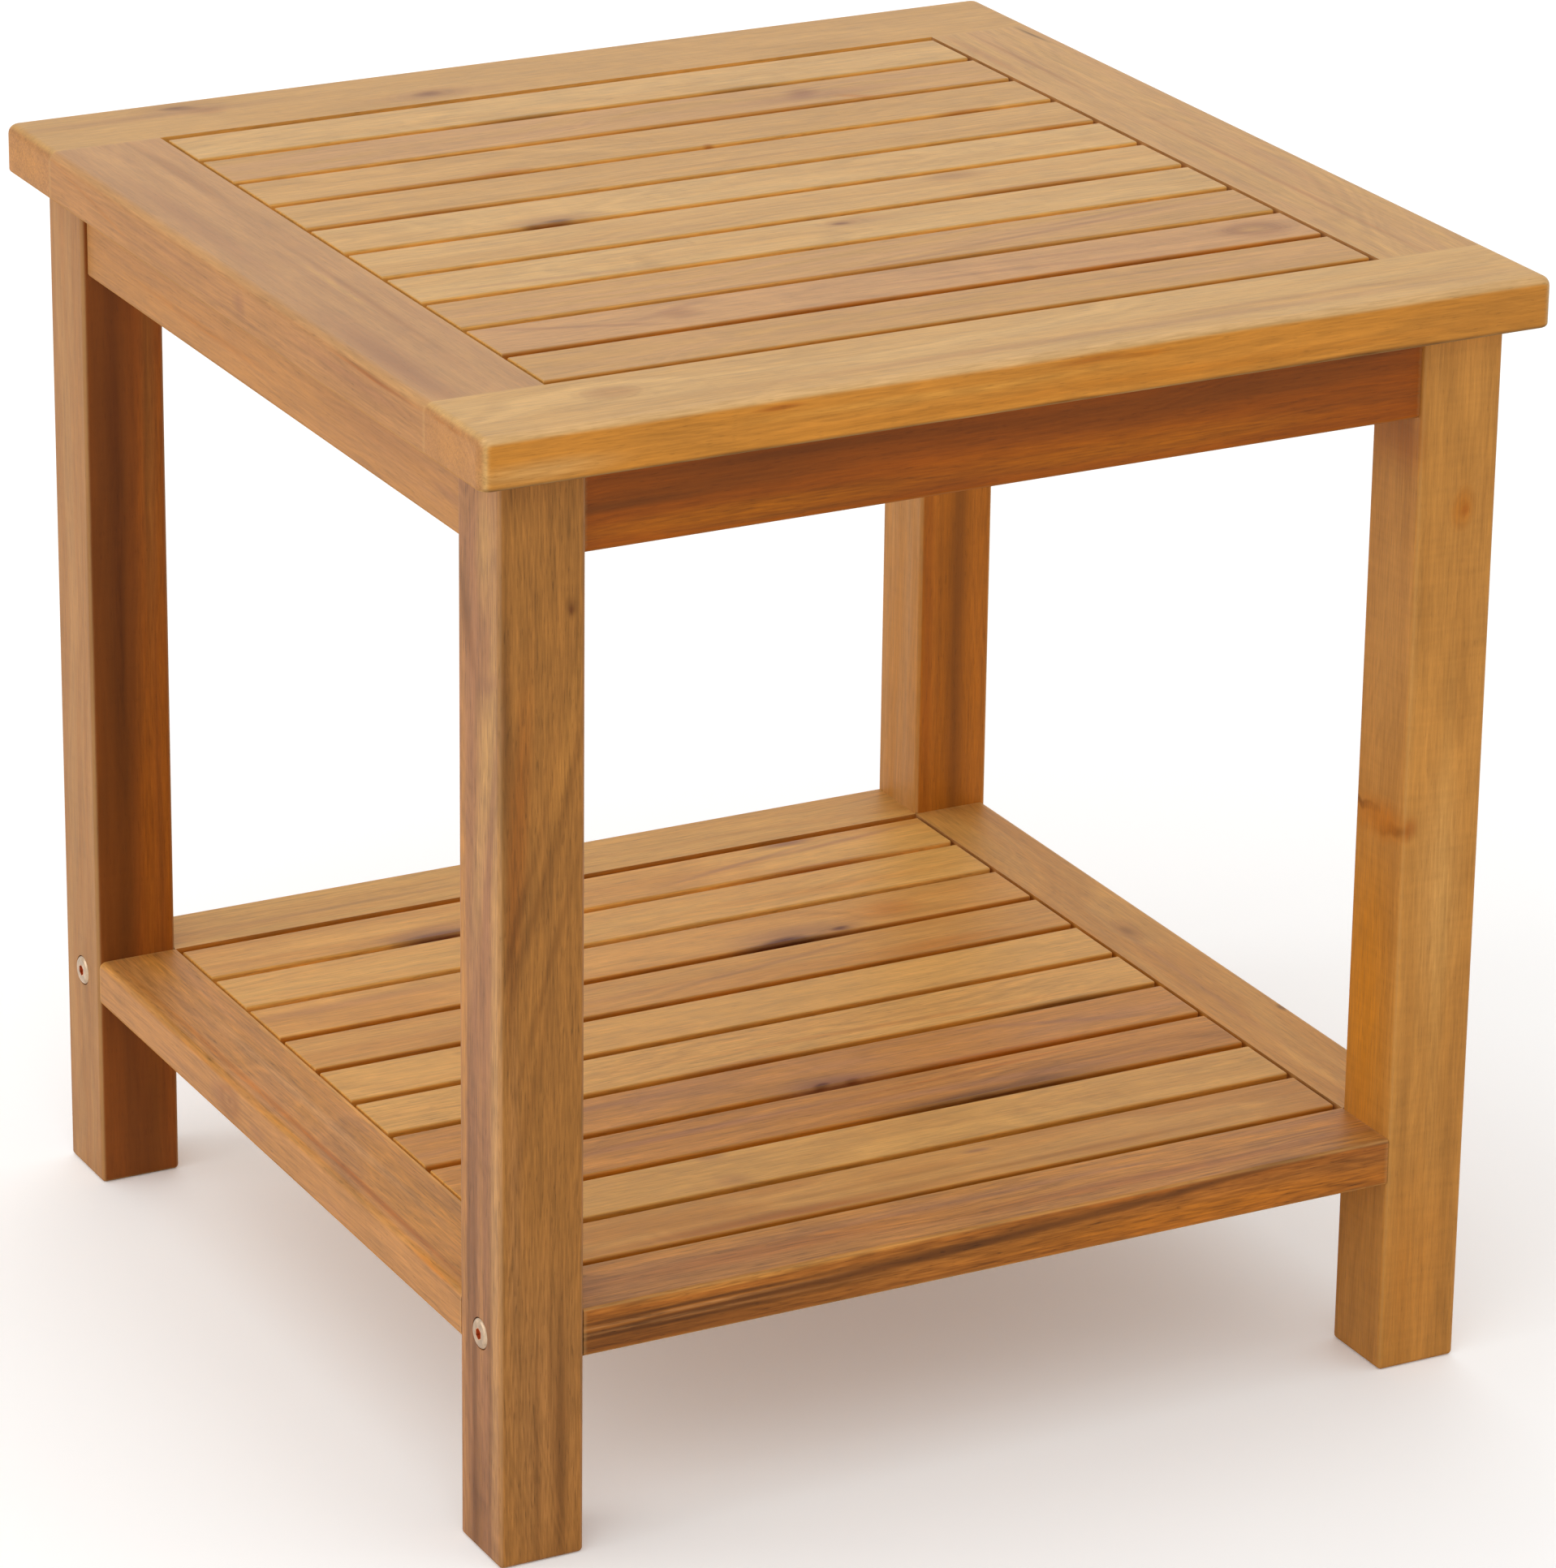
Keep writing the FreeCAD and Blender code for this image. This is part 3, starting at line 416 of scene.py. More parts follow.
        Mark((-207, 177, 240), (300, 3, 8), "umber", 0.55), Mark((-199, 177, 230), (300, 3, 7), "umber", 0.75),
        Mark((-200, 177, 300), (160, 3, 4), "bark", 0.25), Mark((-192, 177, 280), (200, 3, 4), "umber", 0.35),
        Mark((-187, 177, 150), (190, 3, 6), "copper", 0.3), Mark((-184, 177, 330), (120, 3, 4), "hazel", 0.4),
        Mark((-185.5, 177, 320), (120, 3, 1.2), "umber", 0.3), Mark((-180, 177, 200), (190, 3, 2.4), "copper", 0.35),
        Mark((-183, 177, 120), (110, 3, 1.2), "umber", 0.25), Mark((-190, 177, 20), (70, 3, 10), "umber", 0.5),
    ), grain=0.95, ripple=0.08),
    # The copper edge tone of the front and back faces is partly the wood's tone and partly painted shade, the
    # darkness of the front, which stands in shade under the table
    "leg_back_right": Board("tan", "rose", 0.6, 1.0, (10, 44), (0.0, 0.0), "copper", (
        Mark((195, 177, 180), (300, 3, 8), "umber", 0.24), Mark((195.5, 177, 200), (240, 3, 5), "umber", 0.35),
        Mark((187, 177, 190), (160, 3, 1.6), "umber", 0.15), Mark((181, 177, 180), (160, 3, 3), "russet", 0.4),
    ), ripple=0.08),
    "shelf_front_rail": Board("tan", "clay", 0.8, 1.0, (30, 40), (0, -0.03), "russet", (
        Mark((0, -211.5, 91), (500, 4, 14), "hazel", 0.5), Mark((-150, -211.5, 86), (110, 8, 6), "umber", 0.5),
        Mark((-130, -211.5, 94.8), (100, 8, 1.1), "umber", 0.9),
        Mark((-120, -211.5, 91.3), (120, 8, 1.2), "umber", 0.9, (-0.6, 0)),
        Mark((-140, -211.5, 88.4), (80, 8, 1.1), "umber", 0.9), Mark((-130, -211.5, 93), (90, 8, 0.9), "clay", 0.6),
        Mark((-130, -211.5, 90), (90, 8, 0.8), "clay", 0.5),
        Mark((-60, -211.5, 92.5), (110, 6, 2.2), "umber", 0.7, (-1.5, 0)),
        Mark((0, -211.5, 94), (110, 8, 2.6), "umber", 0.8, (-3, 0)),
        Mark((90, -211.5, 98), (70, 8, 2), "umber", 0.7, (-3.5, 0)),
        # The tan line along the upper front arris at the left is a painted highlight
        Mark((100, -211.5, 87), (120, 6, 7), "copper", 0.5), Mark((-90, -211.5, 99.5), (90, 4, 1.6), "tan", 0.7),
        Mark((-80, -194, 101), (90, 7, 4), "russet", 0.35), Mark((60, -200, 101), (110, 5, 4), "russet", 0.35),
        Mark((-20, -188, 101), (120, 2, 4), "dusk", 0.5),
    ), grain=1.8, side_grain=2.4),
    "shelf_back_rail": Board("gold", "wheat", 0.8, 0.97, (40, 30), (0, 0.02), "copper", (
        Mark((-100, 190, 101), (90, 2.4, 4), "dusk", 0.3),
    )),
    "shelf_left_rail": Board("tan", "clay", 0.7, 1.07, (20, -50), (0.02, 0), "clay", (
        Mark((-205, 20, 101), (170, 2, 4), "copper", 0.6), Mark((-205, -90, 101), (100, 1.8, 4), "russet", 0.5),
        Mark((-192, 0, 101), (140, 3, 4), "rose", 0.5), Mark((-211.5, 43, 92), (13, 4, 8.5), "ash", 0.8),
        Mark((-211.5, 43, 92), (7, 4, 4.6), "clay", 1.0), Mark((-211.5, 42, 92), (2.6, 3, 1.8), "ash", 0.7),
        # The apricot on the inner face beside the slats' ends is painted light that lifts the shade in the gap
        Mark((-211.5, 55, 91), (8, 4, 6), "dusk", 0.5), Mark((-177, 0, 95), (220, 3, 8), "apricot", 2.0),
        Mark((-211.5, 15, 89), (10, 3, 4), "dusk", 0.5), Mark((-211.5, -60, 87), (14, 3, 3), "dusk", 0.4),
        Mark((-211.5, -150, 100), (24, 3, 1.4), "copper", 0.6), Mark((-211.5, 60, 100), (120, 3, 1), "copper", 0.3),
        Mark((-211.5, 90, 89), (30, 3, 3), "dusk", 0.3),
    ), grain=1.6, side_grain=1.3),
    "shelf_right_rail": Board("wheat", "tan", 0.7, 0.96, (40, -20), (0.01, 0), "clay", (
        *knot(193, 20, 101, 3.5, 0.35), Mark((208, -80, 101), (4, 2, 3), "umber", 0.7),
        Mark((190, -40, 101), (90, 2.4, 4), "dusk", 0.35), Mark((177, 0, 95), (220, 3, 8), "amber", 1.6),
    )),
    "shelf_slat_01": Board("wheat", "tan", 0.8, 0.95, (20, -30), (0.02, 0), "copper", (
        Mark((-70, -169, 101), (90, 5, 4), "russet", 0.5), Mark((60, -166, 101), (100, 2.4, 4), "hazel", 0.6),
        Mark((27, -149, 101), (8, 2, 3), "dusk", 0.7), Mark((-30, -158, 101), (100, 1.8, 4), "hazel", 0.4),
    )),
    "shelf_slat_02": Board("gold", "wheat", 0.8, 0.95, (10, -60), (0.0, 0.02), "amber", (
        Mark((-75, -132, 101), (10, 7, 4), "dusk", 0.35), Mark((-70, -110, 101), (8, 3, 4), "dusk", 0.5),
    )),
    "shelf_slat_03": Board("tan", "hazel", 0.8, 1.13, (-30, -24), (0.02, 0), "copper", (
        Mark((62, -102, 99), (70, 6, 6), "umber", 0.9), Mark((85, -99, 101), (14, 5, 5), "umber", 0.5),
        Mark((60, -92, 101), (90, 4, 4), "dusk", 0.6, (0, -3)),
        Mark((-60, -84, 101), (90, 3, 4), "dusk", 0.6, (0, 2)),
        Mark((70, -80, 101), (80, 2, 4), "russet", 0.4, (0, 3)),
    ), grain=1.4),
    "shelf_slat_04": Board("tan", "clay", 0.8, 1.07, (30, -18), (-0.05, 0), "copper", (
        Mark((4, -66, 101), (30, 10, 6), "dusk", 0.9), *knot(-2, -67, 101, 2.8, 1.3), *knot(12, -68, 101, 2.6, 1.2),
        Mark((120, -52, 101), (60, 2.4, 4), "dusk", 0.6, (0, -14)), Mark((80, -68, 100), (90, 3, 5), "russet", 0.7),
        Mark((-90, -46, 101), (70, 3, 4), "dusk", 0.5),
    ), grain=1.4),
    "shelf_slat_05": Board("gold", "wheat", 0.7, 1.04, (-20, -50), (0.02, 0.02), "amber", (
        Mark((130, -33, 99), (34, 3, 5), "umber", 0.7), Mark((-20, -33, 99), (34, 3, 5), "russet", 0.7),
        Mark((60, -24, 101), (100, 3, 4), "copper", 0.35, (0, -2)),
    ), grain=1.35),
    "shelf_slat_06": Board("gold", "wheat", 0.5, 1.04, (20, -45), (0.01, 0.03), "amber"),
    "shelf_slat_07": Board("wheat", "tan", 0.6, 1.03, (-30, -35), (0.05, 0), "copper", (
        Mark((115, 42, 101), (36, 9, 5), "copper", 0.35), Mark((40, 54, 101), (60, 2.2, 4), "dusk", 0.45, (0, 8)),
        Mark((-60, 50, 101), (90, 2, 4), "dusk", 0.3),
    )),
    "shelf_slat_08": Board("wheat", "tan", 0.6, 1.12, (40, -30), (0.0, 0.04), "copper", (
        Mark((62, 79, 101), (34, 11, 5), "dusk", 0.6), Mark((56, 71.5, 101), (26, 3.6, 6), "bark", 1.3),
        Mark((60, 74, 101), (12, 4, 5), "bark", 0.9), *knot(86, 75, 101, 3, 0.8),
        Mark((113, 86, 101), (18, 10, 5), "copper", 0.5), Mark((60, 70, 99), (60, 3, 6), "umber", 0.8),
        Mark((-140, 92, 101), (60, 5, 4), "clay", 0.6),
    )),
    "shelf_slat_09": Board("gold", "wheat", 0.6, 1.07, (-34, -46), (0.03, 0), "apricot", (
        Mark((90, 118, 101), (70, 6, 4), "amber", 0.3),
    )),
    "shelf_slat_10": Board("gold", "tan", 0.7, 1.11, (15, -30), (-0.06, 0.02), "apricot", (
        Mark((-72, 143, 100), (22, 4, 5), "bark", 1.1), Mark((-72, 147, 101), (28, 8, 5), "dusk", 0.6),
        Mark((108, 171, 101), (15, 4, 4), "dusk", 0.9), Mark((80, 158, 101), (50, 2.2, 4), "dusk", 0.6, (0, 12)),
        Mark((130, 163, 101), (50, 2.4, 4), "clay", 0.8, (0, 6)), Mark((110, 142, 99), (44, 3, 5), "russet", 0.7),
    )),
}
PLAIN_BOARD = Board("planed", "sand")

# The turn that lays the grain of a board along X, and the way its toned edges face, by the axis it is longest along
GRAIN_TURNS = (Euler((0, 0, 0)), Euler((0, 0, -pi / 2)), Euler((0, pi / 2, 0)))
EDGE_FACING = "YXY"


def grain_axis(node):
    """The axis that a board is longest along, and its box in millimetres."""
    low, high = (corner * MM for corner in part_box(node))
    size = high - low
    return max(range(3), key=lambda axis: size[axis]), low, high


def group_of(name, inputs, outputs):
    """An empty node group with named sockets, and its two ends."""
    group = bpy.data.node_groups.new(name, "ShaderNodeTree")
    for label, kind in inputs:
        group.interface.new_socket(label, in_out="INPUT", socket_type=f"NodeSocket{kind}")
    for label, kind in outputs:
        group.interface.new_socket(label, in_out="OUTPUT", socket_type=f"NodeSocket{kind}")
    return group, group.nodes.new("NodeGroupInput"), group.nodes.new("NodeGroupOutput")


def grain_group():
    """The figure of a sawn board, from the rings of the tree that it was cut from; lengths in millimetres."""
    name = "sawn board"
    if name in bpy.data.node_groups:
        return bpy.data.node_groups[name]
    group, given, result = group_of(
        name,
        (("Place", "Vector"), ("Half size", "Vector"), ("Heart", "Vector"), ("Lean", "Vector"), ("Seed", "Float"),
         ("Bulge", "Float"), ("Figure", "Float"), ("Level", "Float"), ("Grain", "Float"), ("Ripple", "Float"),
         ("Pale", "Color"), ("Deep", "Color")),
        (("Color", "Color"), ("Shade", "Float"), ("Fibre", "Float"), ("Height", "Float"), ("Rub_and_highlight", "Float")))
    graph = Graph(group)
    take = given.outputs
    place, seed = take["Place"], take["Seed"]

    # Rings round the tree's middle, which runs askew through or beside the board
    sway = graph.noise(place, (160, 60, 60), 1.0, seed)[1]
    ripple = graph.noise(place, (38, 14, 14), 1.0, seed)[1]
    swayed = graph.vector("MULTIPLY_ADD", sway, RING_SWAY, place)
    swayed = graph.vector("MULTIPLY_ADD", ripple, RING_RIPPLE, swayed)
    skew = graph.vector("MULTIPLY", take["Lean"], graph.split(place)[0])
    centred = graph.vector("SUBTRACT", graph.vector("SUBTRACT", swayed, take["Heart"]), skew)
    radius = graph.vector("LENGTH", graph.vector("MULTIPLY", centred, (0, 1, 1)))
    radius = graph.math("ADD", radius, take["Bulge"])
    broad = graph.bands(radius, BROAD_BAND, 1.5, seed)
    rings = graph.bands(radius, YEAR_RING, 2.0, seed)

    # Clouds, streaks, fibres and pores along the board, and the ripple across it
    drift = graph.noise(place, (180, 9, 9), 2.0, seed)[0]
    cloud = graph.noise(place, (50, 10, 10), 3.0, seed)[0]
    streak = graph.noise(place, (110, 2.2, 2.2), 2.0, seed)[0]
    fibre = graph.noise(place, (13, 0.75, 0.75), 2.0, seed)[0]
    pores = graph.fade(graph.noise(place, (5, 0.45, 0.45), 0.0, seed)[0], 0.66, 0.8)
    ripple_across = graph.noise(place, (2.8, 20, 20), 1.0, seed)[0]

    depth = graph.fade(graph.math("ADD", broad, drift), 0.72, 1.3)
    tinted = graph.blend(graph.math("MULTIPLY", depth, take["Figure"]), take["Pale"], take["Deep"])
    figure = 0.0
    for part, weight in ((rings, 0.24), (cloud, 0.36), (streak, 0.26), (fibre, 0.6), (pores, -0.14)):
        figure = graph.math("MULTIPLY_ADD", graph.math("SUBTRACT", part, 0.5 if weight > 0 else 0.0), weight, figure)
    shade = graph.math("MULTIPLY_ADD", figure, take["Grain"], 1.01)
    shade = graph.math("MULTIPLY_ADD", graph.math("SUBTRACT", ripple_across, 0.5), take["Ripple"], shade)
    shade = graph.math("MULTIPLY", shade, take["Level"])
    graph.feed(result.inputs["Color"], graph.scaled(tinted, shade))
    graph.feed(result.inputs["Shade"], shade)
    graph.feed(result.inputs["Fibre"], fibre)
    graph.feed(result.inputs["Height"],
               graph.math("MULTIPLY_ADD", rings, 0.4, graph.math("SUBTRACT", fibre, pores)))

    # Arrises that the sanding and the hands have rubbed paler; the same straw also stands as a painted highlight
    # along them
    gaps = graph.vector("SUBTRACT", take["Half size"], graph.vector("ABSOLUTE", place))
    first, second, third = graph.split(gaps)
    nearer, farther = graph.math("MINIMUM", first, second), graph.math("MAXIMUM", first, second)
    middle = graph.math("MAXIMUM", nearer, graph.math("MINIMUM", farther, third))
    rub_and_highlight = graph.fade(graph.math("MULTIPLY_ADD", fibre, 1.6, middle), 1.0, 2.6, 1.0, 0.0)
    graph.feed(result.inputs["Rub_and_highlight"], rub_and_highlight)
    return group


def mark_mask(graph, place, mark, turn, centre):
    """How much of a mark shows at a place: 1 in its middle, 0 from its rim on."""
    about_second, about_third = mark.lean
    oval = graph.node("Mapping", vector_type="TEXTURE")
    graph.feed(oval.inputs["Vector"], place)
    graph.feed(oval.inputs["Location"], turn @ (Vector(mark.place) - centre))
    graph.feed(oval.inputs["Rotation"], (0, radians(about_second), radians(about_third)))
    graph.feed(oval.inputs["Scale"], mark.reach)
    return graph.fade(graph.vector("LENGTH", oval.outputs[0]), 1.25, 0.1)


def empty_material(name):
    """A material without nodes, and the graph that adds them."""
    material = bpy.data.materials.new(name)
    material.use_nodes = True
    material.node_tree.nodes.clear()
    return material, Graph(material.node_tree)


def shaded_material(name):
    """A material with its shader and the graph that feeds it."""
    material, graph = empty_material(name)
    shader = graph.node("BsdfPrincipled")
    graph.feed(graph.node("OutputMaterial").inputs["Surface"], shader.outputs[0])
    return material, graph, shader


def millimetres(graph):
    """The place on the table, in millimetres."""
    scaled = graph.node("Mapping")
    graph.feed(scaled.inputs["Vector"], graph.node("TexCoord").outputs["Object"])
    graph.feed(scaled.inputs["Scale"], (MM, MM, MM))
    return scaled.outputs[0]


def dulled(bright):
    """The same hue with less light."""
    return tuple(value * 0.7 for value in bright)


def wood_material(node, board, number, timber):
    """Oiled hardwood for one board, with its own figure and marks."""
    axis, low, high = grain_axis(node)
    turn = GRAIN_TURNS[axis].to_matrix()
    centre = (low + high) / 2
    material, graph, shader = shaded_material(f"{node} wood")
    position = graph.node("TexCoord")
    laid = graph.node("Mapping")
    graph.feed(laid.inputs["Vector"], position.outputs["Object"])
    graph.feed(laid.inputs["Location"], -(turn @ centre))
    graph.feed(laid.inputs["Rotation"], GRAIN_TURNS[axis])
    graph.feed(laid.inputs["Scale"], (MM, MM, MM))
    place = laid.outputs[0]
    facing = graph.vector("ABSOLUTE", position.outputs["Normal"])
    facing = dict(zip("XYZ", graph.split(facing)))
    upward = graph.split(position.outputs["Normal"])[2]
    seed = number * SEED_STEP

    # Marks follow the sway of the grain, so that no oval is even
    sway = graph.noise(place, (110, 14, 14), 2.0, (seed, seed, seed))[1]
    swayed = graph.vector("MULTIPLY_ADD", graph.vector("SUBTRACT", sway, (0.5, 0.5, 0.5)), MARK_SWAY, place)
    masks = [(mark, mark_mask(graph, swayed, mark, turn, centre)) for mark in board.marks]
    bulge = 0.0
    for mark, mask in masks:
        if mark.bulge:
            bulge = graph.math("MULTIPLY_ADD", mask, mark.bulge, bulge)

    end = graph.fade(facing["XYZ"[axis]], 0.5, 0.9)
    grain = board.grain if axis == 2 else graph.fade(facing["Z"], 0.4, 0.9, board.side_grain, board.grain)
    figure = graph.node("Group", node_tree=grain_group())
    half = (turn @ (high - low)) / 2
    for label, value in {
            "Place": place, "Half size": [abs(length) for length in half], "Heart": (0, *board.heart),
            "Lean": (0, *board.lean), "Seed": seed, "Bulge": bulge, "Figure": board.figure, "Level": board.level,
            "Grain": grain, "Ripple": board.ripple,
            "Pale": (*getattr(timber, board.pale), 1), "Deep": (*getattr(timber, board.deep), 1)}.items():
        graph.feed(figure.inputs[label], value)
    colour_now = figure.outputs["Color"]
    fibre, shade = figure.outputs["Fibre"], figure.outputs["Shade"]

    # End grain, toned edges, marks and arrises (partly rubbed, partly painted highlight), each over the last
    is_slat = "slat" in node
    # A slat's end grain takes apricot, painted light that lifts the shade in the gap beside the side rail; other
    # boards take clay
    washes = [(end, timber.apricot if is_slat else timber.clay)]
    if board.edge:
        start = 0.6 if is_slat else 0.8
        amount = graph.fade(facing[EDGE_FACING[axis]], start, start + 0.2, 0.0, EDGE_STRENGTH)
        washes.append((amount, getattr(timber, board.edge)))
    for amount, wash in washes:
        colour_now = graph.blend(amount, colour_now, graph.scaled(tuple(wash), shade))
    stains = {name: graph.scaled(tuple(getattr(timber, name)), shade)
              for name in dict.fromkeys(mark.tone for mark in board.marks)}
    for mark, mask in masks:
        grainy = graph.math("MULTIPLY", mask, graph.math("MULTIPLY_ADD", fibre, 1.1, 0.45))
        amount = graph.math("MULTIPLY", grainy, mark.strength, clamp=True)
        colour_now = graph.blend(amount, colour_now, stains[mark.tone])
    # Straw on the arrises: partly rubbed wear, partly a painted highlight
    rub_and_highlight = graph.math("MULTIPLY", figure.outputs["Rub_and_highlight"], RUB_AND_HIGHLIGHT_STRENGTH)
    graph.feed(shader.inputs["Base Color"], graph.blend(rub_and_highlight, colour_now, timber.straw))

    matt = graph.fade(upward, -0.4, -0.02, ROUGH_BELOW, timber.gloss - FIBRE_ROUGHNESS / 2)
    graph.feed(shader.inputs["Roughness"], graph.math("MULTIPLY_ADD", fibre, FIBRE_ROUGHNESS, matt, clamp=True))
    graph.feed(shader.inputs["Specular IOR Level"], OIL_SPECULAR)
    relief = graph.node("Bump")
    graph.feed(relief.inputs["Strength"], timber.relief)
    graph.feed(relief.inputs["Distance"], FIBRE_HEIGHT / MM)
    graph.feed(relief.inputs["Height"], figure.outputs["Height"])
    graph.feed(shader.inputs["Normal"], relief.outputs[0])
    return material


def plate_material(name, metal, plate, socket=None):
    """Plated steel with the faint cloudiness of a zinc bath; a socket's axis is given in millimetres."""
    material, graph, shader = shaded_material(name)
    place = millimetres(graph)
    cloud = graph.noise(place, (3, 3, 3), 3.0, (0, 0, 0))[0]
    colour_now = graph.blend(graph.fade(cloud, 0.3, 0.7), metal, dulled(metal))
    if socket:
        across = graph.vector("SUBTRACT", graph.vector("ABSOLUTE", place), socket)
        radius = graph.vector("LENGTH", graph.vector("MULTIPLY", across, (0, 1, 1)))
        # The socket's warm brown is painted light that lifts the shade inside it
        colour_now = graph.blend(graph.fade(radius, *SOCKET_RADII, 1.0, 0.0), colour_now, plate.socket)
    graph.feed(shader.inputs["Base Color"], colour_now)
    graph.feed(shader.inputs["Roughness"], graph.math("MULTIPLY_ADD", cloud, 0.2, plate.gloss - 0.1))
    graph.feed(shader.inputs["Metallic"], 1.0)
    return material


def paint(node, material):
    """Gives a CAD piece its material."""
    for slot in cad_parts[node].material_slots:
        slot.material = material


class TableOperator:
    """What the table's operators share."""
    bl_options = {"REGISTER", "UNDO"}


class OilOperator(TableOperator):
    """Oils the boards that an operator names, each with its own figure."""
    boards = ()

    def execute(self, context):
        order = sorted(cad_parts)
        for node in self.boards:
            board = BOARDS.get(node, PLAIN_BOARD)
            paint(node, wood_material(node, board, order.index(node), context.scene.table_timber))
        return {"FINISHED"}


class TABLE_OT_top_frame(OilOperator, bpy.types.Operator):
    """Oils the four rails round the tabletop"""
    bl_idname = "side_table.top_frame"
    bl_label = "Tabletop frame"
    boards = [f"top_{rail}_rail" for rail in RAILS]


class TABLE_OT_top_slats(OilOperator, bpy.types.Operator):
    """Oils the ten slats of the tabletop"""
    bl_idname = "side_table.top_slats"
    bl_label = "Tabletop slats"
    boards = [f"top_slat_{number:02d}" for number in SLATS]


class TABLE_OT_legs(OilOperator, bpy.types.Operator):
    """Oils the four legs"""
    bl_idname = "side_table.legs"
    bl_label = "Legs"
    boards = [f"leg_{corner}" for corner in CORNERS]


class TABLE_OT_aprons(OilOperator, bpy.types.Operator):
    """Oils the four aprons under the tabletop"""
    bl_idname = "side_table.aprons"
    bl_label = "Aprons"
    boards = [f"apron_{rail}" for rail in RAILS]


class TABLE_OT_shelf_frame(OilOperator, bpy.types.Operator):
    """Oils the four rails of the shelf"""
    bl_idname = "side_table.shelf_frame"
    bl_label = "Shelf frame"
    boards = [f"shelf_{rail}_rail" for rail in RAILS]


class TABLE_OT_shelf_slats(OilOperator, bpy.types.Operator):
    """Oils the ten slats of the shelf"""
    bl_idname = "side_table.shelf_slats"
    bl_label = "Shelf slats"
    boards = [f"shelf_slat_{number:02d}" for number in SLATS]


class TABLE_OT_under_boards(OilOperator, bpy.types.Operator):
    """Finishes the battens and corner blocks under the table"""
    bl_idname = "side_table.under_boards"
    bl_label = "Battens and blocks"
    boards = ([f"top_batten_{side}" for side in SIDES] + [f"shelf_batten_{side}" for side in SIDES]
              + [f"corner_block_{corner}" for corner in CORNERS])


class TABLE_OT_dowels(TableOperator, bpy.types.Operator):
    """Gives the dowels their turned beech"""
    bl_idname = "side_table.dowels"
    bl_label = "Dowels"

    def execute(self, context):
        beech = context.scene.table_timber.beech
        material, graph, shader = shaded_material("turned beech")
        flecks = graph.noise(millimetres(graph), (1.2, 1.2, 1.2), 2.0, (0, 0, 0))[0]
        graph.feed(shader.inputs["Base Color"], graph.blend(graph.fade(flecks, 0.35, 0.7), beech, dulled(beech)))
        graph.feed(shader.inputs["Roughness"], 0.7)
        paint("dowels", material)
        return {"FINISHED"}


class TABLE_OT_bolts(TableOperator, bpy.types.Operator):
    """Plates the bolts, nuts and washers with bright zinc"""
    bl_idname = "side_table.bolts"
    bl_label = "Bolts and nuts"

    def execute(self, context):
        plate = context.scene.table_plate
        for node in ("barrel_nuts", "hanger_bolts", "hanger_nuts", "hanger_washers"):
            paint(node, plate_material(f"{node} zinc", plate.zinc, plate))
        low, high = (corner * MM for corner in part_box("shelf_bolts"))
        radius = (high.z - low.z) / 2
        axis = (0, high.y - radius, high.z - radius)
        paint("shelf_bolts", plate_material("shelf_bolts zinc", plate.zinc, plate, axis))
        return {"FINISHED"}


class TABLE_OT_screws(TableOperator, bpy.types.Operator):
    """Plates the wood screws with yellow zinc"""
    bl_idname = "side_table.screws"
    bl_label = "Wood screws"

    def execute(self, context):
        plate = context.scene.table_plate
        for node in ("top_screws", "slat_screws"):
            paint(node, plate_material(f"{node} zinc", plate.yellow, plate))
        return {"FINISHED"}


def area_lamp(name, place, aim, size, power):
    """A square soft lamp that looks at a point."""
    toward = Vector(aim) - Vector(place)
    bpy.ops.object.light_add(type="AREA", location=place, rotation=toward.to_track_quat("-Z", "Y").to_euler())
    lamp = bpy.context.object
    lamp.name = name
    lamp.data.size = size
    lamp.data.energy = power
    lamp.visible_camera = False


def seen_or_mirrored(graph):
    """1 for rays that the camera sees straight, in a gloss or through glass."""
    rays = graph.node("LightPath")
    either = graph.math("MAXIMUM", rays.outputs["Is Camera Ray"], rays.outputs["Is Glossy Ray"])
    return graph.math("MAXIMUM", either, rays.outputs["Is Transmission Ray"])


def lay_floor(context, studio):
    """A pale floor that looks a little paler to the camera than it shines on the table."""
    bpy.ops.object.select_all(action="DESELECT")
    bpy.ops.mesh.primitive_plane_add(size=FLOOR_SIZE)
    floor = context.object
    floor.name = "floor"
    material, graph = empty_material("pale floor")
    matt, glow, both = graph.node("BsdfDiffuse"), graph.node("Emission"), graph.node("AddShader")
    graph.feed(matt.inputs["Color"], (*studio.floor, 1))
    graph.feed(glow.inputs["Strength"], graph.math("MULTIPLY", seen_or_mirrored(graph), studio.floor_glow))
    graph.feed(both.inputs[0], matt.outputs[0])
    graph.feed(both.inputs[1], glow.outputs[0])
    graph.feed(graph.node("OutputMaterial").inputs["Surface"], both.outputs[0])
    floor.data.materials.append(material)


def light(scene, studio):
    """Even light from all round, which looks white, and three soft lamps."""
    world = scene.world or bpy.data.worlds.new("studio")
    scene.world = world
    world.use_nodes = True
    graph = Graph(world.node_tree)
    strength = graph.fade(seen_or_mirrored(graph), 0.0, 1.0, studio.ambient, 1.0)
    background = world.node_tree.nodes["Background"]
    graph.feed(background.inputs["Color"], (1, 1, 1, 1))
    graph.feed(background.inputs["Strength"], strength)

    aim = (0, 0, CAD_BOX[1][2] * 0.6)
    area_lamp("front_lamp", (-1.3, -1.6, 2.1), aim, size=1.6, power=studio.key)
    area_lamp("left_lamp", (-2.2, 0.3, 1.0), aim, size=1.8, power=studio.left)
    area_lamp("back_lamp", (0.9, 2.3, 1.5), aim, size=2.4, power=studio.back)


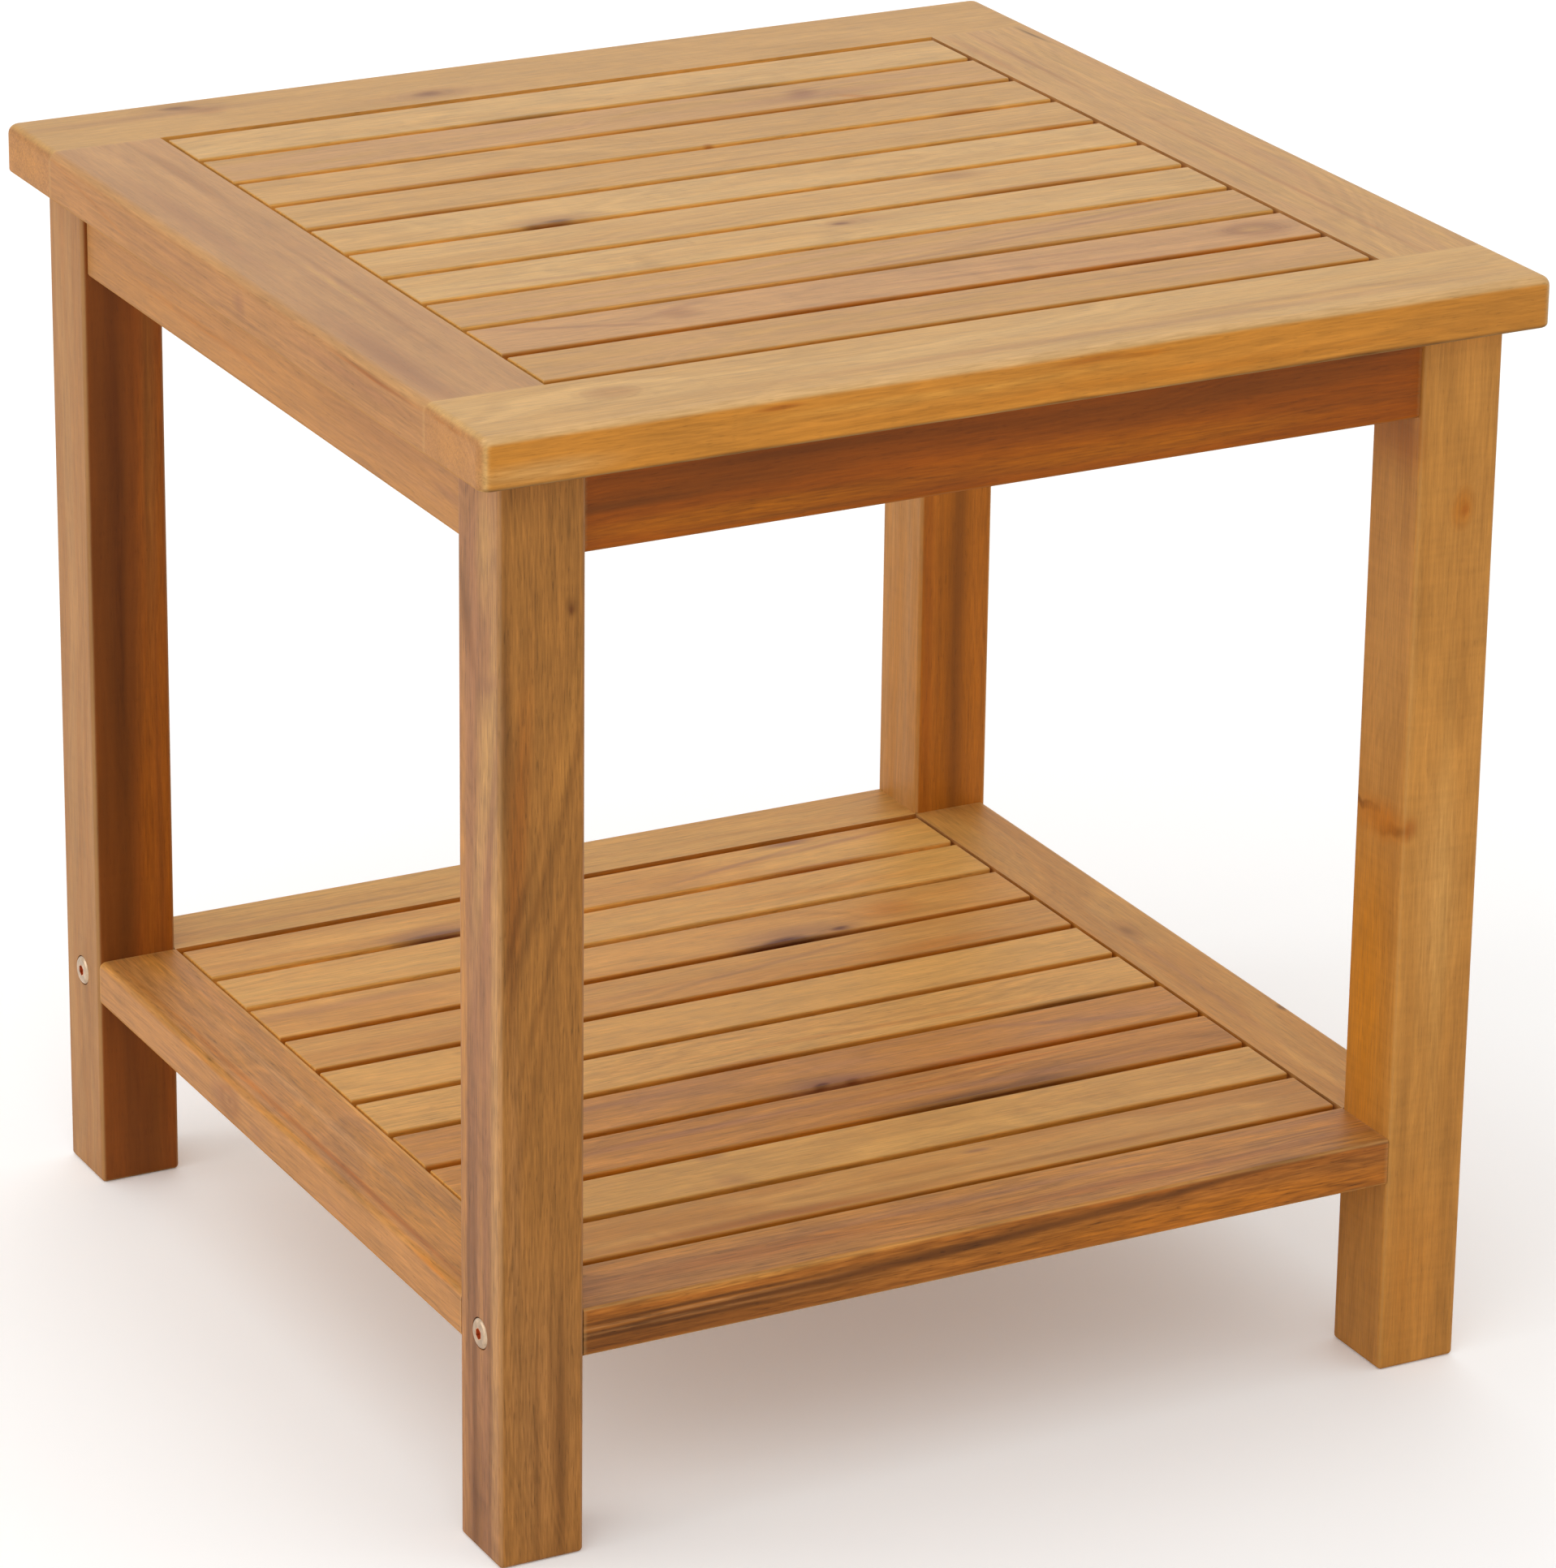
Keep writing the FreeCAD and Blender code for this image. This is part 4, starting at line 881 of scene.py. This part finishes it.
class TABLE_OT_studio(TableOperator, bpy.types.Operator):
    """Sets up the pale floor, the soft light and the camera"""
    bl_idname = "side_table.studio"
    bl_label = "Studio"

    def execute(self, context):
        scene = context.scene
        studio = scene.table_studio
        lay_floor(context, studio)
        light(scene, studio)
        bpy.ops.object.camera_add(location=studio.camera_place, rotation=studio.camera_turn)
        camera = context.object
        camera.data.lens = studio.lens
        camera.data.shift_x = studio.shift_x
        camera.data.shift_y = studio.shift_y
        scene.camera = camera
        scene.view_settings.view_transform = "Standard"
        return {"FINISHED"}


OPERATORS = (TABLE_OT_top_frame, TABLE_OT_top_slats, TABLE_OT_legs, TABLE_OT_aprons, TABLE_OT_shelf_frame,
             TABLE_OT_shelf_slats, TABLE_OT_under_boards, TABLE_OT_dowels, TABLE_OT_bolts, TABLE_OT_screws,
             TABLE_OT_studio)


class TABLE_PT_panel(bpy.types.Panel):
    """Lists the steps of the finish"""
    bl_label = "Side Table"
    bl_idname = "TABLE_PT_panel"
    bl_space_type = "VIEW_3D"
    bl_region_type = "UI"
    bl_category = "Side Table"

    def draw(self, context):
        for settings in (context.scene.table_timber, context.scene.table_plate, context.scene.table_studio):
            box = self.layout.box()
            for name in settings.__annotations__:
                box.prop(settings, name)
        for operator in OPERATORS:
            self.layout.operator(operator.bl_idname)


CLASSES = (TimberTones, PlatedSteel, PaleStudio, *OPERATORS, TABLE_PT_panel)


def register():
    for kind in CLASSES:
        bpy.utils.register_class(kind)
    bpy.types.Scene.table_timber = PointerProperty(type=TimberTones)
    bpy.types.Scene.table_plate = PointerProperty(type=PlatedSteel)
    bpy.types.Scene.table_studio = PointerProperty(type=PaleStudio)


def unregister():
    del bpy.types.Scene.table_studio
    del bpy.types.Scene.table_plate
    del bpy.types.Scene.table_timber
    for kind in reversed(CLASSES):
        bpy.utils.unregister_class(kind)


def main():
    """Finishes the table and sets up the studio, step by step."""
    register()
    bpy.ops.side_table.top_frame()
    bpy.ops.side_table.top_slats()
    bpy.ops.side_table.legs()
    bpy.ops.side_table.aprons()
    bpy.ops.side_table.shelf_frame()
    bpy.ops.side_table.shelf_slats()
    bpy.ops.side_table.under_boards()
    bpy.ops.side_table.dowels()
    bpy.ops.side_table.bolts()
    bpy.ops.side_table.screws()
    bpy.ops.side_table.studio()


if __name__ == "__main__":
    main()
